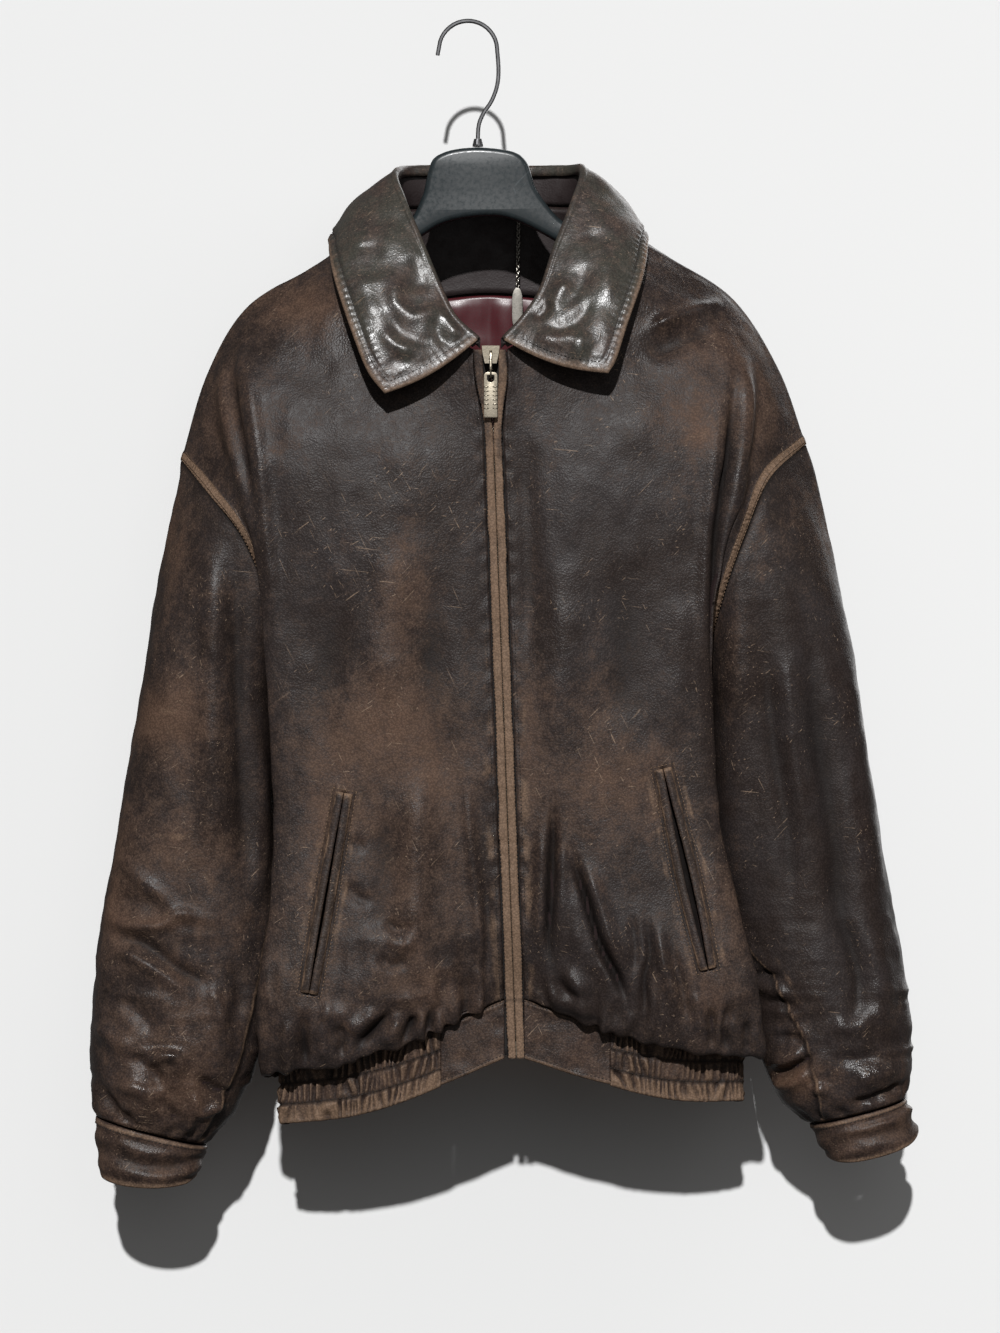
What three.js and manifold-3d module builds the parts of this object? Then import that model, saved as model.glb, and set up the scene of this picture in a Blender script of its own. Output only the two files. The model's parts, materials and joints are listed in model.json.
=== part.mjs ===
// A worn leather blouson on a moulded hanger, hung by its hook.
// Millimetres, +Z up, the front faces -Y and +X is the wearer's left.
// The origin is where the hook bears on its rail: the underside of the top of its arc.
import * as THREE from 'three';
import { mergeVertices } from 'three/addons/utils/BufferGeometryUtils.js';
import Module from 'manifold-3d';

const wasm = await Module();
wasm.setup();

// Driving dimensions.
const leatherThickness = 2.0;
const collarThickness = 2.6;
const standThickness = 1.6;
const bandThickness = 2.4;
const placketThickness = 1.2;
const liningThickness = 1.0;
const tapeThickness = 1.0;
const chainThickness = 2.2;
const seamGap = 0.34;            // between two pieces along a seam
const neckZ = -268;              // top of the front opening
const hemZ = -782;               // waistband seam at the front opening
const openingX = 17;             // front opening at its top
const openingLean = 0.037;       // it drifts towards +X on the way down
const placketWidth = 6.6;
const placketHalfGap = 0.9;      // from the zip's middle line to each placket
const placketSpread = 6.0;       // the plackets part by this much round the slider
const bandHeight = 47;
const sleeveInset = 0.9;         // the sleeve slants away from its seam, so it is drawn back more
const tabEnds = [-22, 112];      // where the plain tabs of the waistband end
const stepsPerSpan = 2;          // mesh steps between two guide stations
const pieceGap = 0.4;            // between parts that only lie side by side
const insideGap = 0.8;           // between the back and what lines it
const hemGap = 2.5;              // the waistband hangs this far below the fronts and the back
const chainHalf = 1.5;
const tapeWidth = 13;
const tapeSetback = 4.4;         // the tapes lie behind the fronts by this much
const boxHeight = 11;            // the zip's box, at its lower end
const boxDepth = 2.6;
const weltWidth = 7.6;
const weltThickness = 2.2;
const weltLift = 0.4;
const slotHalf = 0.9;
const neckChainX = 39;
const neckChainWire = 1.5;
const neckPlateHalf = 4.5;
const neckPlateThickness = 1.4;
const hookRadius = 23.5;
const hookWire = 3.6;
const hookCentre = [-1, -21.7];
const hangerDepth = 13;
const hangerEndDepth = 25;
const hangerEndSetback = 4;      // its ends lie behind the hook's plane by this much
const hangerTopZ = -100.6;
const sliderZ = [-280, -266];     // lower and upper end of the slider's plates
const pullAxis = { y: -75.6, z: -288.4 };   // the axis that the pull tab swings on runs along X
const pullSize = { width: 10.8, length: 36, thickness: 1.5, bar: 1.25, hole: 5.6, holeWidth: 5.4, corner: 3 };

// Small vector and curve helpers.
const vec = (p) => new THREE.Vector3(p[0], p[1], p[2]);
const mix = (a, b, t) => a.clone().lerp(b, t);
const smooth = (low, high, x) => THREE.MathUtils.smoothstep(x, low, high);
const evenly = (steps) => Array.from({ length: steps + 1 }, (_, k) => k / steps);
const openingAt = (z) => openingX + openingLean * (neckZ - z);
// Depth of the front's free edge: it swells forwards over the chest and returns at the band.
const openingY = (z) => -67 - 12 * (1 - smooth(-600, -290, z)) + 11 * (1 - smooth(-782, -720, z));
const spread = (z) => placketSpread * smooth(-338, -282, z);

function curve(points) {
  const line = new THREE.CatmullRomCurve3(points.map(vec), false, 'catmullrom', 0.5);
  return (t) => line.getPoint(THREE.MathUtils.clamp(t, 0, 1));
}

// A guide line with a point at each station; corners start a fresh curve.
function guide(points, corners = []) {
  const ends = [0, ...corners, points.length - 1];
  const pieces = [];
  for (let k = 0; k + 1 < ends.length; k += 1) {
    pieces.push({ from: ends[k], to: ends[k + 1], at: curve(points.slice(ends[k], ends[k + 1] + 1)) });
  }
  return (station) => {
    const piece = pieces.find((one) => station <= one.to + 1e-9);
    return piece.at((station - piece.from) / (piece.to - piece.from));
  };
}

// Grids of points, and the thin walls made from them.
function makeGrid(rows, wrap = false) {
  return { rows, wrap, outward: null };
}

// Outward directions from the neighbours' differences; side is 1 or -1.
function orient(grid, side) {
  const { rows, wrap } = grid;
  const last = rows.length - 1;
  grid.outward = rows.map((row, i) => row.map((point, j) => {
    const n = row.length;
    const before = wrap ? row[(j + n - 1) % n] : row[Math.max(j - 1, 0)];
    const after = wrap ? row[(j + 1) % n] : row[Math.min(j + 1, n - 1)];
    const across = after.clone().sub(before);
    const down = rows[Math.min(i + 1, last)][j].clone().sub(rows[Math.max(i - 1, 0)][j]);
    return across.cross(down).normalize().multiplyScalar(side);
  }));
  return grid;
}

// Pieces that meet at one point of a seam share the direction of their cut edges there.
// At a hairpin the faces cancel out, so the fall gives the direction there.
function shareEdge(places, fall = 0) {
  const both = new THREE.Vector3(0, 0, -fall);
  places.forEach(([grid, i, j]) => both.add(grid.outward[i][j]));
  both.normalize();
  places.forEach(([grid, i, j]) => {
    grid.outward[i][j] = both.clone();
  });
}

// Pulls the named borders of a grid back along the surface, to leave the seam's gap.
function insetBorders(grid, borders, distance) {
  const { rows } = grid;
  const last = rows.length - 1;
  const end = rows[0].length - 1;
  const pull = (point, next) => {
    const step = next.clone().sub(point);
    return point.clone().addScaledVector(step, Math.min(0.45, distance / step.length()));
  };
  const moved = rows.map((row, i) => row.map((point, j) => {
    let here = point;
    if (borders.top && i === 0) here = pull(here, rows[1][j]);
    if (borders.bottom && i === last) here = pull(here, rows[last - 1][j]);
    if (borders.start && j === 0) here = pull(here, row[1]);
    if (borders.end && j === end) here = pull(here, row[end - 1]);
    return here;
  }));
  grid.rows = moved;
  return grid;
}

function closedGeometry(vertices, triangles) {
  const flat = new Float32Array(vertices.length * 3);
  vertices.forEach((v, k) => v.toArray(flat, k * 3));
  let volume = 0;
  for (const [a, b, c] of triangles) {
    volume += vertices[a].dot(vertices[b].clone().cross(vertices[c]));
  }
  const order = volume > 0 ? triangles : triangles.map(([a, b, c]) => [a, c, b]);
  const geometry = new THREE.BufferGeometry();
  geometry.setAttribute('position', new THREE.BufferAttribute(flat, 3));
  geometry.setIndex(order.flat());
  return geometry;
}

// A closed wall: the grid is its outer face, and the inner face lies a thickness inside it.
function wall(grid, thickness, outerOffset = 0) {
  const { rows, wrap, outward } = grid;
  const n = rows[0].length;
  const m = rows.length;
  const outer = [];
  const inner = [];
  rows.forEach((row, i) => row.forEach((point, j) => {
    outer.push(point.clone().addScaledVector(outward[i][j], outerOffset));
    inner.push(point.clone().addScaledVector(outward[i][j], outerOffset - thickness));
  }));
  const vertices = [...outer, ...inner];
  const shift = outer.length;
  const at = (i, j) => i * n + (wrap ? j % n : j);
  const triangles = [];
  const quad = (a, b, c, d) => triangles.push([a, b, c], [a, c, d]);
  const columns = wrap ? n : n - 1;
  for (let i = 0; i < m - 1; i += 1) {
    for (let j = 0; j < columns; j += 1) {
      quad(at(i, j), at(i, j + 1), at(i + 1, j + 1), at(i + 1, j));
      quad(shift + at(i, j), shift + at(i + 1, j), shift + at(i + 1, j + 1), shift + at(i, j + 1));
    }
  }
  for (let j = 0; j < columns; j += 1) {
    quad(at(0, j), shift + at(0, j), shift + at(0, j + 1), at(0, j + 1));
    quad(at(m - 1, j), at(m - 1, j + 1), shift + at(m - 1, j + 1), shift + at(m - 1, j));
  }
  if (!wrap) {
    for (let i = 0; i < m - 1; i += 1) {
      quad(at(i, 0), at(i + 1, 0), shift + at(i + 1, 0), shift + at(i, 0));
      quad(at(i, n - 1), shift + at(i, n - 1), shift + at(i + 1, n - 1), at(i + 1, n - 1));
    }
  }
  return closedGeometry(vertices, triangles);
}

// Materials.
const finish = (color, roughness, metalness = 0) => (
  () => new THREE.MeshStandardMaterial({ color, roughness, metalness })
);
const leather = finish(0x3a302e, 0.5);
const collarLeather = finish(0x3c3a32, 0.3);
const wornLeather = finish(0x8c6e55, 0.65);
const satin = finish(0x6e323c, 0.4);
const tapeCloth = finish(0x2a2422, 0.9);
const zipMetal = finish(0xb4afa0, 0.35, 1);
const hangerPlastic = finish(0x2d3437, 0.35);
const chrome = finish(0xc8c8c8, 0.15, 1);

const jacket = new THREE.Group();
function add(name, geometry, material, parent = jacket) {
  const mesh = new THREE.Mesh(geometry, material());
  mesh.name = name;
  parent.add(mesh);
  return mesh;
}

// The body's guide lines, one point at each of 14 stations from the neck to the waistband.
// Stations 0 to 4 follow the shoulder, 4 to 8 the armhole, 8 to 13 the side.
const shoulderTop = 4;
const underarm = 8;
const lastStation = 13;

// Each side: the seam down shoulder, armhole and side; the fold where the front turns back
// towards the side; the same fold on the back; and the armhole's own line on the back.
const right = {
  seam: [[-80, 5, -166], [-128, 6, -197], [-180, 6, -229], [-212, 5, -283], [-233, 4, -353],
    [-206, -38, -384], [-178, -50, -420], [-158, -44, -472], [-148, 2, -530],
    [-138, 4, -610], [-138, 2, -700], [-152, 0, -785], [-161, -2, -838], [-150, -3, -834]],
  backArmhole: [[-233, 4, -353], [-210, 46, -388], [-182, 60, -428], [-160, 50, -478], [-148, 2, -530]],
  fold: [[-62, -44, -205], [-104, -36, -230], [-150, -37, -262], [-173, -50, -300], [-170, -60, -348],
    [-167, -64, -400], [-163, -66, -445], [-160, -67, -495], [-158, -68, -545], [-154, -70, -625],
    [-155, -76, -705], [-163, -84, -775], [-160, -72, -840], [-146, -50, -830]],
  backFold: [[-62, 30, -148], [-108, 32, -188], [-158, 38, -230], [-190, 44, -288], [-204, 50, -350],
    [-180, 60, -398], [-158, 67, -440], [-146, 66, -490], [-150, 52, -545], [-146, 54, -625],
    [-152, 58, -705], [-162, 62, -780], [-160, 54, -842], [-146, 42, -834]],
};
const left = {
  seam: [[112, 5, -162], [164, 6, -190], [214, 6, -223], [250, 5, -279], [272, 4, -340],
    [241, -38, -368], [221, -50, -412], [201, -46, -468], [186, 2, -535],
    [176, 4, -610], [192, 2, -700], [218, 0, -778], [229, -2, -820], [220, -3, -816]],
  backArmhole: [[272, 4, -340], [246, 46, -370], [224, 60, -416], [202, 50, -474], [186, 2, -535]],
  fold: [[96, -44, -202], [142, -38, -226], [188, -40, -257], [209, -54, -300], [206, -62, -345],
    [201, -66, -395], [195, -68, -440], [191, -70, -492], [191, -70, -548], [196, -72, -630],
    [209, -78, -700], [226, -84, -765], [231, -70, -826], [214, -48, -812]],
  backFold: [[96, 30, -146], [144, 32, -182], [194, 38, -224], [226, 44, -280], [240, 50, -338],
    [214, 60, -385], [192, 68, -432], [182, 66, -486], [188, 52, -548], [184, 54, -628],
    [202, 58, -704], [224, 62, -772], [227, 54, -826], [213, 42, -816]],
};
// Height of the front's edge, and the middle of the back, at the same stations.
const frontEdge = [-268, -296, -330, -370, -412, -452, -490, -530, -572, -640, -710, -762, -778, -782];
const backMiddle = [[16, 54, -137], [15, 59, -168], [13, 64, -212], [11, 67, -268], [10, 69, -330],
  [10, 70, -385], [11, 70, -435], [12, 70, -485], [14, 70, -540], [18, 72, -612],
  [22, 76, -686], [26, 82, -746], [30, 78, -790], [30, 64, -784]];
// How far each row bellies out of the chord between edge and fold: forwards, and downwards.
const frontBelly = [2, 4, 6, 8, 8, 7, 6, 6, 6, 7, 9, 12, 12, 5];
const frontSag = [9, 8, 6, 4, 3, 2, 2, 2, 2, 2, 3, 7, 10, 8];
const backBelly = [9, 10, 9, 8, 7, 6, 5, 5, 6, 8, 11, 13, 11, 7];
// How far the strip between fold and seam is tucked in towards the middle.
const frontTuck = [-4, -5, -5, -4, -2, 2, 5, 6, 7, 8, 8, 6, 4, 3];
const backTuck = [-4, -5, -6, -6, -6, -5, -2, 2, 6, 8, 8, 6, 4, 3];

function between(list) {
  const line = guide(list.map((value, k) => [k, value, 0]));
  return (station) => line(station).y;
}
const bellyAt = between(frontBelly);
const sagAt = between(frontSag);
const backBellyAt = between(backBelly);
const frontTuckAt = between(frontTuck);
const backTuckAt = between(backTuck);
const edgeZ = between(frontEdge);
const backMiddleAt = guide(backMiddle);

for (const half of [right, left]) {
  half.sign = half === right ? -1 : 1;
  half.seamAt = guide(half.seam, [shoulderTop, underarm]);
  half.armholeBackAt = guide(half.backArmhole);
  half.foldAt = guide(half.fold);
  half.backFoldAt = guide(half.backFold);
  half.backSeamAt = (station) => {
    const onArmhole = station > shoulderTop && station < underarm;
    return onArmhole ? half.armholeBackAt(station - shoulderTop) : half.seamAt(station);
  };
}

// The free edge of a front, beside its placket.
function frontEdgeAt(half, station) {
  const z = edgeZ(station);
  const out = placketHalfGap + placketWidth + seamGap + spread(z);
  return new THREE.Vector3(openingAt(z) + half.sign * out, openingY(z), z);
}

function turnPoint(fold, seam, tucked, station) {
  const point = mix(fold, seam, 0.5);
  point.x -= tucked;
  point.z -= station < shoulderTop ? 0 : 2;
  return point;
}

// One front row from the free edge to the outer seam, as a smooth line.
function frontRow(half, station) {
  const edge = frontEdgeAt(half, station);
  const fold = half.foldAt(station);
  const seam = half.seamAt(station);
  const chest = [1 / 3, 2 / 3].map((t) => {
    const point = mix(edge, fold, t);
    point.y -= bellyAt(station);
    point.z -= sagAt(station);
    return point;
  });
  const turn = turnPoint(fold, seam, half.sign * frontTuckAt(station), station);
  return curve([edge, ...chest, fold, turn, seam].map((p) => p.toArray()));
}

// One back row, from the right seam across to the left seam.
function backRow(station) {
  const middle = backMiddleAt(station);
  const sides = [right, left].map((half) => {
    const seam = half.backSeamAt(station);
    const fold = half.backFoldAt(station);
    const blades = [2 / 3, 1 / 3].map((t) => {
      const point = mix(middle, fold, t);
      point.y += backBellyAt(station);
      return point;
    });
    const turn = turnPoint(fold, seam, half.sign * backTuckAt(station), station);
    return [seam, turn, fold, ...blades];
  });
  const points = [...sides[0], middle, ...sides[1].reverse()];
  return curve(points.map((p) => p.toArray()));
}

const frontSpans = 5;
const backSpans = 10;
const frontColumns = frontSpans * stepsPerSpan;
const backColumns = backSpans * stepsPerSpan;
const bodyRows = lastStation * stepsPerSpan;

function sampleRows(rowAt, columns) {
  const rows = [];
  for (let i = 0; i <= bodyRows; i += 1) {
    const row = rowAt(i / stepsPerSpan);
    rows.push(Array.from({ length: columns + 1 }, (_, j) => row(j / columns)));
  }
  return rows;
}

const fronts = [right, left].map((half) => (
  orient(makeGrid(sampleRows((s) => frontRow(half, s), frontColumns)), -half.sign)
));
const back = orient(makeGrid(sampleRows(backRow, backColumns)), 1);

// Sleeves: rings from the armhole down to the cuff.
// Each ring has an outer and an inner point, the middle of its depth, and half its depth.
right.sleeve = {
  outer: [[-233, 4, -353], [-241, 4, -395], [-249, 4, -437], [-256, 4, -480], [-263, 3, -525],
    [-271, 2, -573], [-280, 0, -628], [-288, -2, -681], [-298, -4, -741], [-303, -5, -790],
    [-304, -6, -830], [-303, -7, -862], [-300, -8, -880]],
  inner: [[-148, 2, -530], [-151, 2, -540], [-154, 3, -556], [-156, 3, -578], [-157, 2, -604],
    [-157, 1, -632], [-156, 0, -662], [-156, -2, -697], [-158, -4, -742], [-161, -5, -786],
    [-170, -6, -832], [-186, -7, -872], [-211, -8, -903]],
  depth: [55, 56, 57, 57, 56, 54, 52, 50, 49, 49, 48, 44, 34],
};
left.sleeve = {
  outer: [[272, 4, -340], [285, 4, -384], [295, 4, -428], [304, 4, -474], [312, 3, -522],
    [318, 2, -572], [327, 0, -628], [336, -2, -684], [347, -4, -742], [354, -5, -790],
    [357, -6, -826], [355, -7, -850], [350, -8, -866]],
  inner: [[186, 2, -535], [189, 2, -545], [191, 3, -562], [193, 3, -584], [194, 2, -610],
    [195, 1, -636], [199, 0, -668], [208, -2, -706], [219, -4, -752], [228, -5, -794],
    [237, -6, -836], [252, -7, -868], [274, -8, -886]],
  depth: [55, 56, 57, 57, 56, 54, 52, 50, 49, 49, 48, 44, 34],
};
right.cuff = {
  outer: [[-300, -8, -881], [-300, -9, -902], [-297, -10, -925]],
  inner: [[-211, -8, -904], [-214, -9, -916], [-219, -10, -928]],
  depth: [34, 33, 31],
};
left.cuff = {
  outer: [[350, -8, -867], [356, -9, -878], [362, -10, -893]],
  inner: [[274, -8, -887], [280, -9, -900], [288, -10, -912]],
  depth: [34, 33, 31],
};
const cuffDip = 9;               // the cuff hangs lowest between its two edges

const armholeSteps = (underarm - shoulderTop) * stepsPerSpan;
const ringCount = armholeSteps * 2;

// A ring as a squared-off ellipse, from the outer point round the front to the inner one.
function ring(outer, inner, halfDepth, dip = 0) {
  const centre = mix(outer, inner, 0.5);
  const reach = outer.clone().sub(centre);
  const fullness = 0.86;
  return Array.from({ length: ringCount }, (_, k) => {
    const angle = (k / ringCount) * 2 * Math.PI;
    const c = Math.cos(angle);
    const s = Math.sin(angle);
    const point = centre.clone();
    point.addScaledVector(reach, Math.sign(c) * Math.abs(c) ** fullness);
    point.y -= halfDepth * Math.sign(s) * Math.abs(s) ** fullness;
    point.z -= dip * Math.abs(s);
    return point;
  });
}

// The loop that the sleeve is set into: down the front armhole, and up the back one.
for (const half of [right, left]) {
  const spans = underarm - shoulderTop;
  half.armholeLoop = Array.from({ length: ringCount }, (_, k) => {
    const along = (k <= armholeSteps ? k : ringCount - k) / armholeSteps;
    if (k <= armholeSteps) return half.seamAt(shoulderTop + along * spans);
    return half.armholeBackAt(along * spans);
  });
}

function sleeveGrid(half) {
  const { outer, inner, depth } = half.sleeve;
  const outerAt = guide(outer);
  const innerAt = guide(inner);
  const depthAt = between(depth);
  const last = outer.length - 1;
  const steps = Math.round(last * 1.5);
  const rows = [];
  const first = ring(outerAt(0), innerAt(0), depthAt(0));
  for (let i = 0; i <= steps; i += 1) {
    const station = (i / steps) * last;
    const keep = 1 - smooth(0, 4, station);
    const plain = ring(outerAt(station), innerAt(station), depthAt(station));
    rows.push(plain.map((point, k) => (
      point.addScaledVector(half.armholeLoop[k].clone().sub(first[k]), keep)
    )));
  }
  return orient(makeGrid(rows, true), half.sign);
}

function cuffGrid(half) {
  const { outer, inner, depth } = half.cuff;
  const rows = outer.map((point, k) => (
    ring(vec(point), vec(inner[k]), depth[k], cuffDip * (k / (outer.length - 1)))
  ));
  return orient(makeGrid(rows, true), half.sign);
}

const sleeves = [right, left].map(sleeveGrid);

// Shoulder and side seams join front to back; the armhole joins both to the sleeve.
[right, left].forEach((half, side) => {
  const front = fronts[side];
  const sleeve = sleeves[side];
  const backEdge = side === 0 ? 0 : backColumns;
  const firstRow = shoulderTop * stepsPerSpan;
  const lastRow = underarm * stepsPerSpan;
  for (let i = 0; i <= bodyRows; i += 1) {
    const onFront = [front, i, frontColumns];
    const onBack = [back, i, backEdge];
    const k = i - firstRow;
    const fall = 2.5 * smooth(0.35, 0.9, k / armholeSteps);
    if (i < firstRow || i > lastRow) {
      shareEdge([onFront, onBack]);
    } else if (i === firstRow || i === lastRow) {
      shareEdge([onFront, onBack, [sleeve, 0, k]], fall);
    } else {
      shareEdge([onFront, [sleeve, 0, k]], fall);
      shareEdge([onBack, [sleeve, 0, ringCount - k]], fall);
    }
  }
});

fronts.forEach((front) => insetBorders(front, { top: true, bottom: true, end: true }, seamGap / 2));
insetBorders(back, { top: true, bottom: true, start: true, end: true }, seamGap / 2);
sleeves.forEach((sleeve) => insetBorders(sleeve, { top: true, bottom: true }, sleeveInset));

add('front_right', wall(fronts[0], leatherThickness), leather);
add('front_left', wall(fronts[1], leatherThickness), leather);
add('back', wall(back, leatherThickness), leather);
add('sleeve_right', wall(sleeves[0], leatherThickness), leather);
add('sleeve_left', wall(sleeves[1], leatherThickness), leather);
add('cuff_right', wall(insetBorders(cuffGrid(right), { top: true }, seamGap), bandThickness), leather);
add('cuff_left', wall(insetBorders(cuffGrid(left), { top: true }, seamGap), bandThickness), leather);

// Collar: a stand rising from the neckline to the roll, and a leaf falling from it.
const rollLine = curve([[7, -73, -262], [-13, -66, -243], [-27, -57, -214], [-42, -42, -178],
  [-55, -20, -146], [-62, 8, -121], [-44, 40, -113], [16, 56, -112], [78, 40, -113],
  [94, 8, -118], [86, -20, -148], [71, -42, -187], [59, -57, -222], [43, -66, -246], [28, -73, -262]]);
const leafEdge = curve([[-66, -86, -305], [-80, -83, -286], [-94, -73, -250], [-107, -50, -210],
  [-112, -12, -182], [-109, 26, -176], [-70, 68, -188], [16, 90, -196], [106, 68, -186],
  [140, 26, -174], [143, -12, -180], [138, -48, -211], [125, -71, -250], [116, -83, -278], [110, -86, -289]]);
const neckCentre = new THREE.Vector3(16, 0, 0);
const leafBelly = 9;
const leafCornerSag = 7;
const neckSteps = 2 * frontColumns + backColumns;
const leafSteps = 4;
const leafCrowding = 1.2;        // brings the leaf's rows closer together at the roll
const leafLift = 3;

function leafPoint(s, t) {
  const roll = rollLine(s);
  const edge = leafEdge(s);
  const point = mix(roll, edge, t);
  const away = mix(roll, edge, 0.5).sub(neckCentre).setZ(0).normalize();
  const arch = Math.sin(Math.PI * t);
  const nearEnd = 1 - smooth(0, 0.06, Math.min(s, 1 - s));
  point.addScaledVector(away, leafBelly * arch * (1 - 0.55 * nearEnd));
  point.z += leafLift * arch * (1 - nearEnd) - leafCornerSag * arch * nearEnd;
  return point;
}

const leafRows = evenly(leafSteps).map((down) => (
  evenly(neckSteps).map((along) => leafPoint(along, down ** leafCrowding))
));
add('collar_leaf', wall(orient(makeGrid(leafRows), 1), collarThickness, collarThickness), collarLeather);

// The neckline, in the same steps: up the right front, round the back, down the left front.
const neckline = [
  ...fronts[0].rows[0].slice(0, -1),
  ...back.rows[0].slice(0, -1),
  ...fronts[1].rows[0].slice().reverse(),
];
const standTopDrop = collarThickness + 1.0;
const standLift = 1.8;
const standSteps = 2;
const standRows = Array.from({ length: standSteps + 1 }, (_, i) => neckline.map((foot, j) => {
  const top = rollLine(j / neckSteps);
  top.z -= standTopDrop * (top.z - foot.z > 12 ? 1 : 0.6);
  const base = foot.clone();
  base.z += standLift;
  return mix(top, base, i / standSteps);
}));
add('collar_stand', wall(orient(makeGrid(standRows), 1), standThickness), collarLeather);

// What lies inside the back: the neck facing, and the lining that hangs below it.
const facingEnd = 2;             // station where the facing ends
const liningStart = 2.04;
const liningEnd = 5;
function backPatch(fromStation, toStation, rows) {
  const points = evenly(rows).map((down) => {
    const row = backRow(fromStation + (toStation - fromStation) * down);
    return evenly(backSpans).map((along) => row(0.25 + 0.5 * along));
  });
  return insetBorders(orient(makeGrid(points), 1), { top: true }, seamGap);
}
const inside = -(leatherThickness + insideGap);
add('back_neck_facing', wall(backPatch(0, facingEnd, 4), leatherThickness, inside), leather);
add('back_lining', wall(backPatch(liningStart, liningEnd, 6), liningThickness, inside), satin);

// Waistband: one ring below the hem, cut into two plain tabs and three gathered stretches.
function hemPoint(half, u) {
  return frontRow(half, lastStation)(u);
}

// A stretch of band: hang(t) gives its upper edge, and it falls by the band's height.
function bandStretch(hang, columns, drop, lean) {
  const rows = evenly(2).map((down) => evenly(columns).map((along) => {
    const point = hang(along).clone();
    point.z -= hemGap + drop(along) * down;
    point.y += lean(along) * down;
    return point;
  }));
  return makeGrid(rows);
}

// Where a front's hem line crosses a given x.
function hemCrossing(half, x) {
  let low = 0;
  let high = 1;
  for (let k = 0; k < 40; k += 1) {
    const middle = (low + high) / 2;
    const past = (hemPoint(half, middle).x - x) * half.sign > 0;
    if (past) high = middle;
    else low = middle;
  }
  return low;
}

const tabColumns = 3;
const stretchColumns = 9;
const backStretchColumns = 18;
const stretches = [right, left].map((half, side) => {
  const cut = hemCrossing(half, tabEnds[side]);
  const cutGap = hemCrossing(half, tabEnds[side] + half.sign * pieceGap);
  const tab = bandStretch((t) => hemPoint(half, t * cut), tabColumns, () => bandHeight - 2, () => 0);
  add(`band_tab_${side === 0 ? 'right' : 'left'}`, wall(orient(tab, -half.sign), bandThickness), leather);
  return orient(bandStretch(
    (t) => hemPoint(half, cutGap + t * (1 - cutGap)),
    stretchColumns,
    (t) => bandHeight + 5 * Math.sin(Math.PI * t) + t - 1,
    (t) => 4 * Math.sin(Math.PI * t),
  ), -half.sign);
});
const backStretch = orient(bandStretch(
  backRow(lastStation),
  backStretchColumns,
  (t) => bandHeight + 3 * Math.sin(Math.PI * t),
  (t) => -5 * Math.sin(Math.PI * t),
), 1);
for (const row of [0, 1, 2]) {
  shareEdge([[stretches[0], row, stretchColumns], [backStretch, row, 0]]);
  shareEdge([[stretches[1], row, stretchColumns], [backStretch, row, backStretchColumns]]);
}
stretches.forEach((stretch) => insetBorders(stretch, { end: true }, seamGap / 2));
insetBorders(backStretch, { start: true, end: true }, seamGap / 2);
add('band_elastic_right', wall(stretches[0], bandThickness), leather);
add('band_elastic_left', wall(stretches[1], bandThickness), leather);
add('band_back', wall(backStretch, bandThickness), leather);

// Front opening: plackets over the zip's edges, two tapes and the closed chain.
const bandBottomZ = hemZ - bandHeight;
const stripSteps = 22;
function stripGrid(sign, topZ, bottomZ, across) {
  const rows = evenly(stripSteps).map((down) => {
    const z = topZ + (bottomZ - topZ) * down;
    return across.map(([out, forward, parted]) => {
      const x = openingAt(z) + sign * (out + (parted ? spread(z) : 0));
      return new THREE.Vector3(x, openingY(z) - forward, z);
    });
  });
  return makeGrid(rows);
}

const placketRoll = 2.4;
const placketLift = 1.4;
const placketAcross = evenly(3).map((t) => (
  [placketHalfGap + placketWidth * t, placketLift + placketRoll * Math.sin(Math.PI * t), true]
));
[right, left].forEach((half, side) => {
  const name = side === 0 ? 'right' : 'left';
  const placket = stripGrid(half.sign, neckZ - 1, bandBottomZ, placketAcross);
  add(`placket_${name}`, wall(orient(placket, -half.sign), placketThickness), wornLeather);
  const tape = stripGrid(half.sign, neckZ - 2, bandBottomZ + 2, [
    [chainHalf + pieceGap, -tapeSetback, false], [chainHalf + tapeWidth, -tapeSetback, false]]);
  add(`zip_tape_${name}`, wall(orient(tape, -half.sign), tapeThickness), tapeCloth);
});
const chainTopZ = sliderZ[0] - 1.2;
const chainBottomZ = bandBottomZ + boxHeight + 3;
const chainSetback = 1.3 - tapeSetback;
const chain = stripGrid(1, chainTopZ, chainBottomZ, [
  [-chainHalf, chainSetback, false], [chainHalf, chainSetback, false]]);
add('zip_chain', wall(orient(chain, -1), chainThickness), zipMetal);

const box = new THREE.BoxGeometry(chainHalf * 2, boxDepth, boxHeight);
const boxZ = bandBottomZ + 2 + boxHeight / 2;
box.translate(openingAt(boxZ), openingY(boxZ) + tapeSetback, boxZ);
add('zip_box', box, zipMetal);

// Slider with its bail, joined into one body.
function solidOf(geometry) {
  const bare = geometry.clone();
  bare.deleteAttribute('normal');
  bare.deleteAttribute('uv');
  const joined = mergeVertices(bare, 1e-4);
  const triVerts = joined.index
    ? new Uint32Array(joined.index.array)
    : Uint32Array.from({ length: joined.attributes.position.count }, (_, k) => k);
  return new wasm.Manifold(new wasm.Mesh({
    numProp: 3, vertProperties: joined.attributes.position.array, triVerts,
  }));
}

function geometryOf(solid) {
  const mesh = solid.getMesh();
  const geometry = new THREE.BufferGeometry();
  geometry.setAttribute('position', new THREE.BufferAttribute(Float32Array.from(mesh.vertProperties), 3));
  geometry.setIndex(Array.from(mesh.triVerts));
  return geometry;
}

// A plate in the XZ plane, from an outline of [x, z] points, with its back face at the given depth.
function plate(outline, backY, thickness) {
  const shape = new THREE.Shape(outline.map(([x, z]) => new THREE.Vector2(x, z)));
  const geometry = new THREE.ExtrudeGeometry(shape, { depth: thickness, bevelEnabled: false });
  geometry.rotateX(Math.PI / 2);
  geometry.translate(0, backY, 0);
  return geometry;
}

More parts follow.
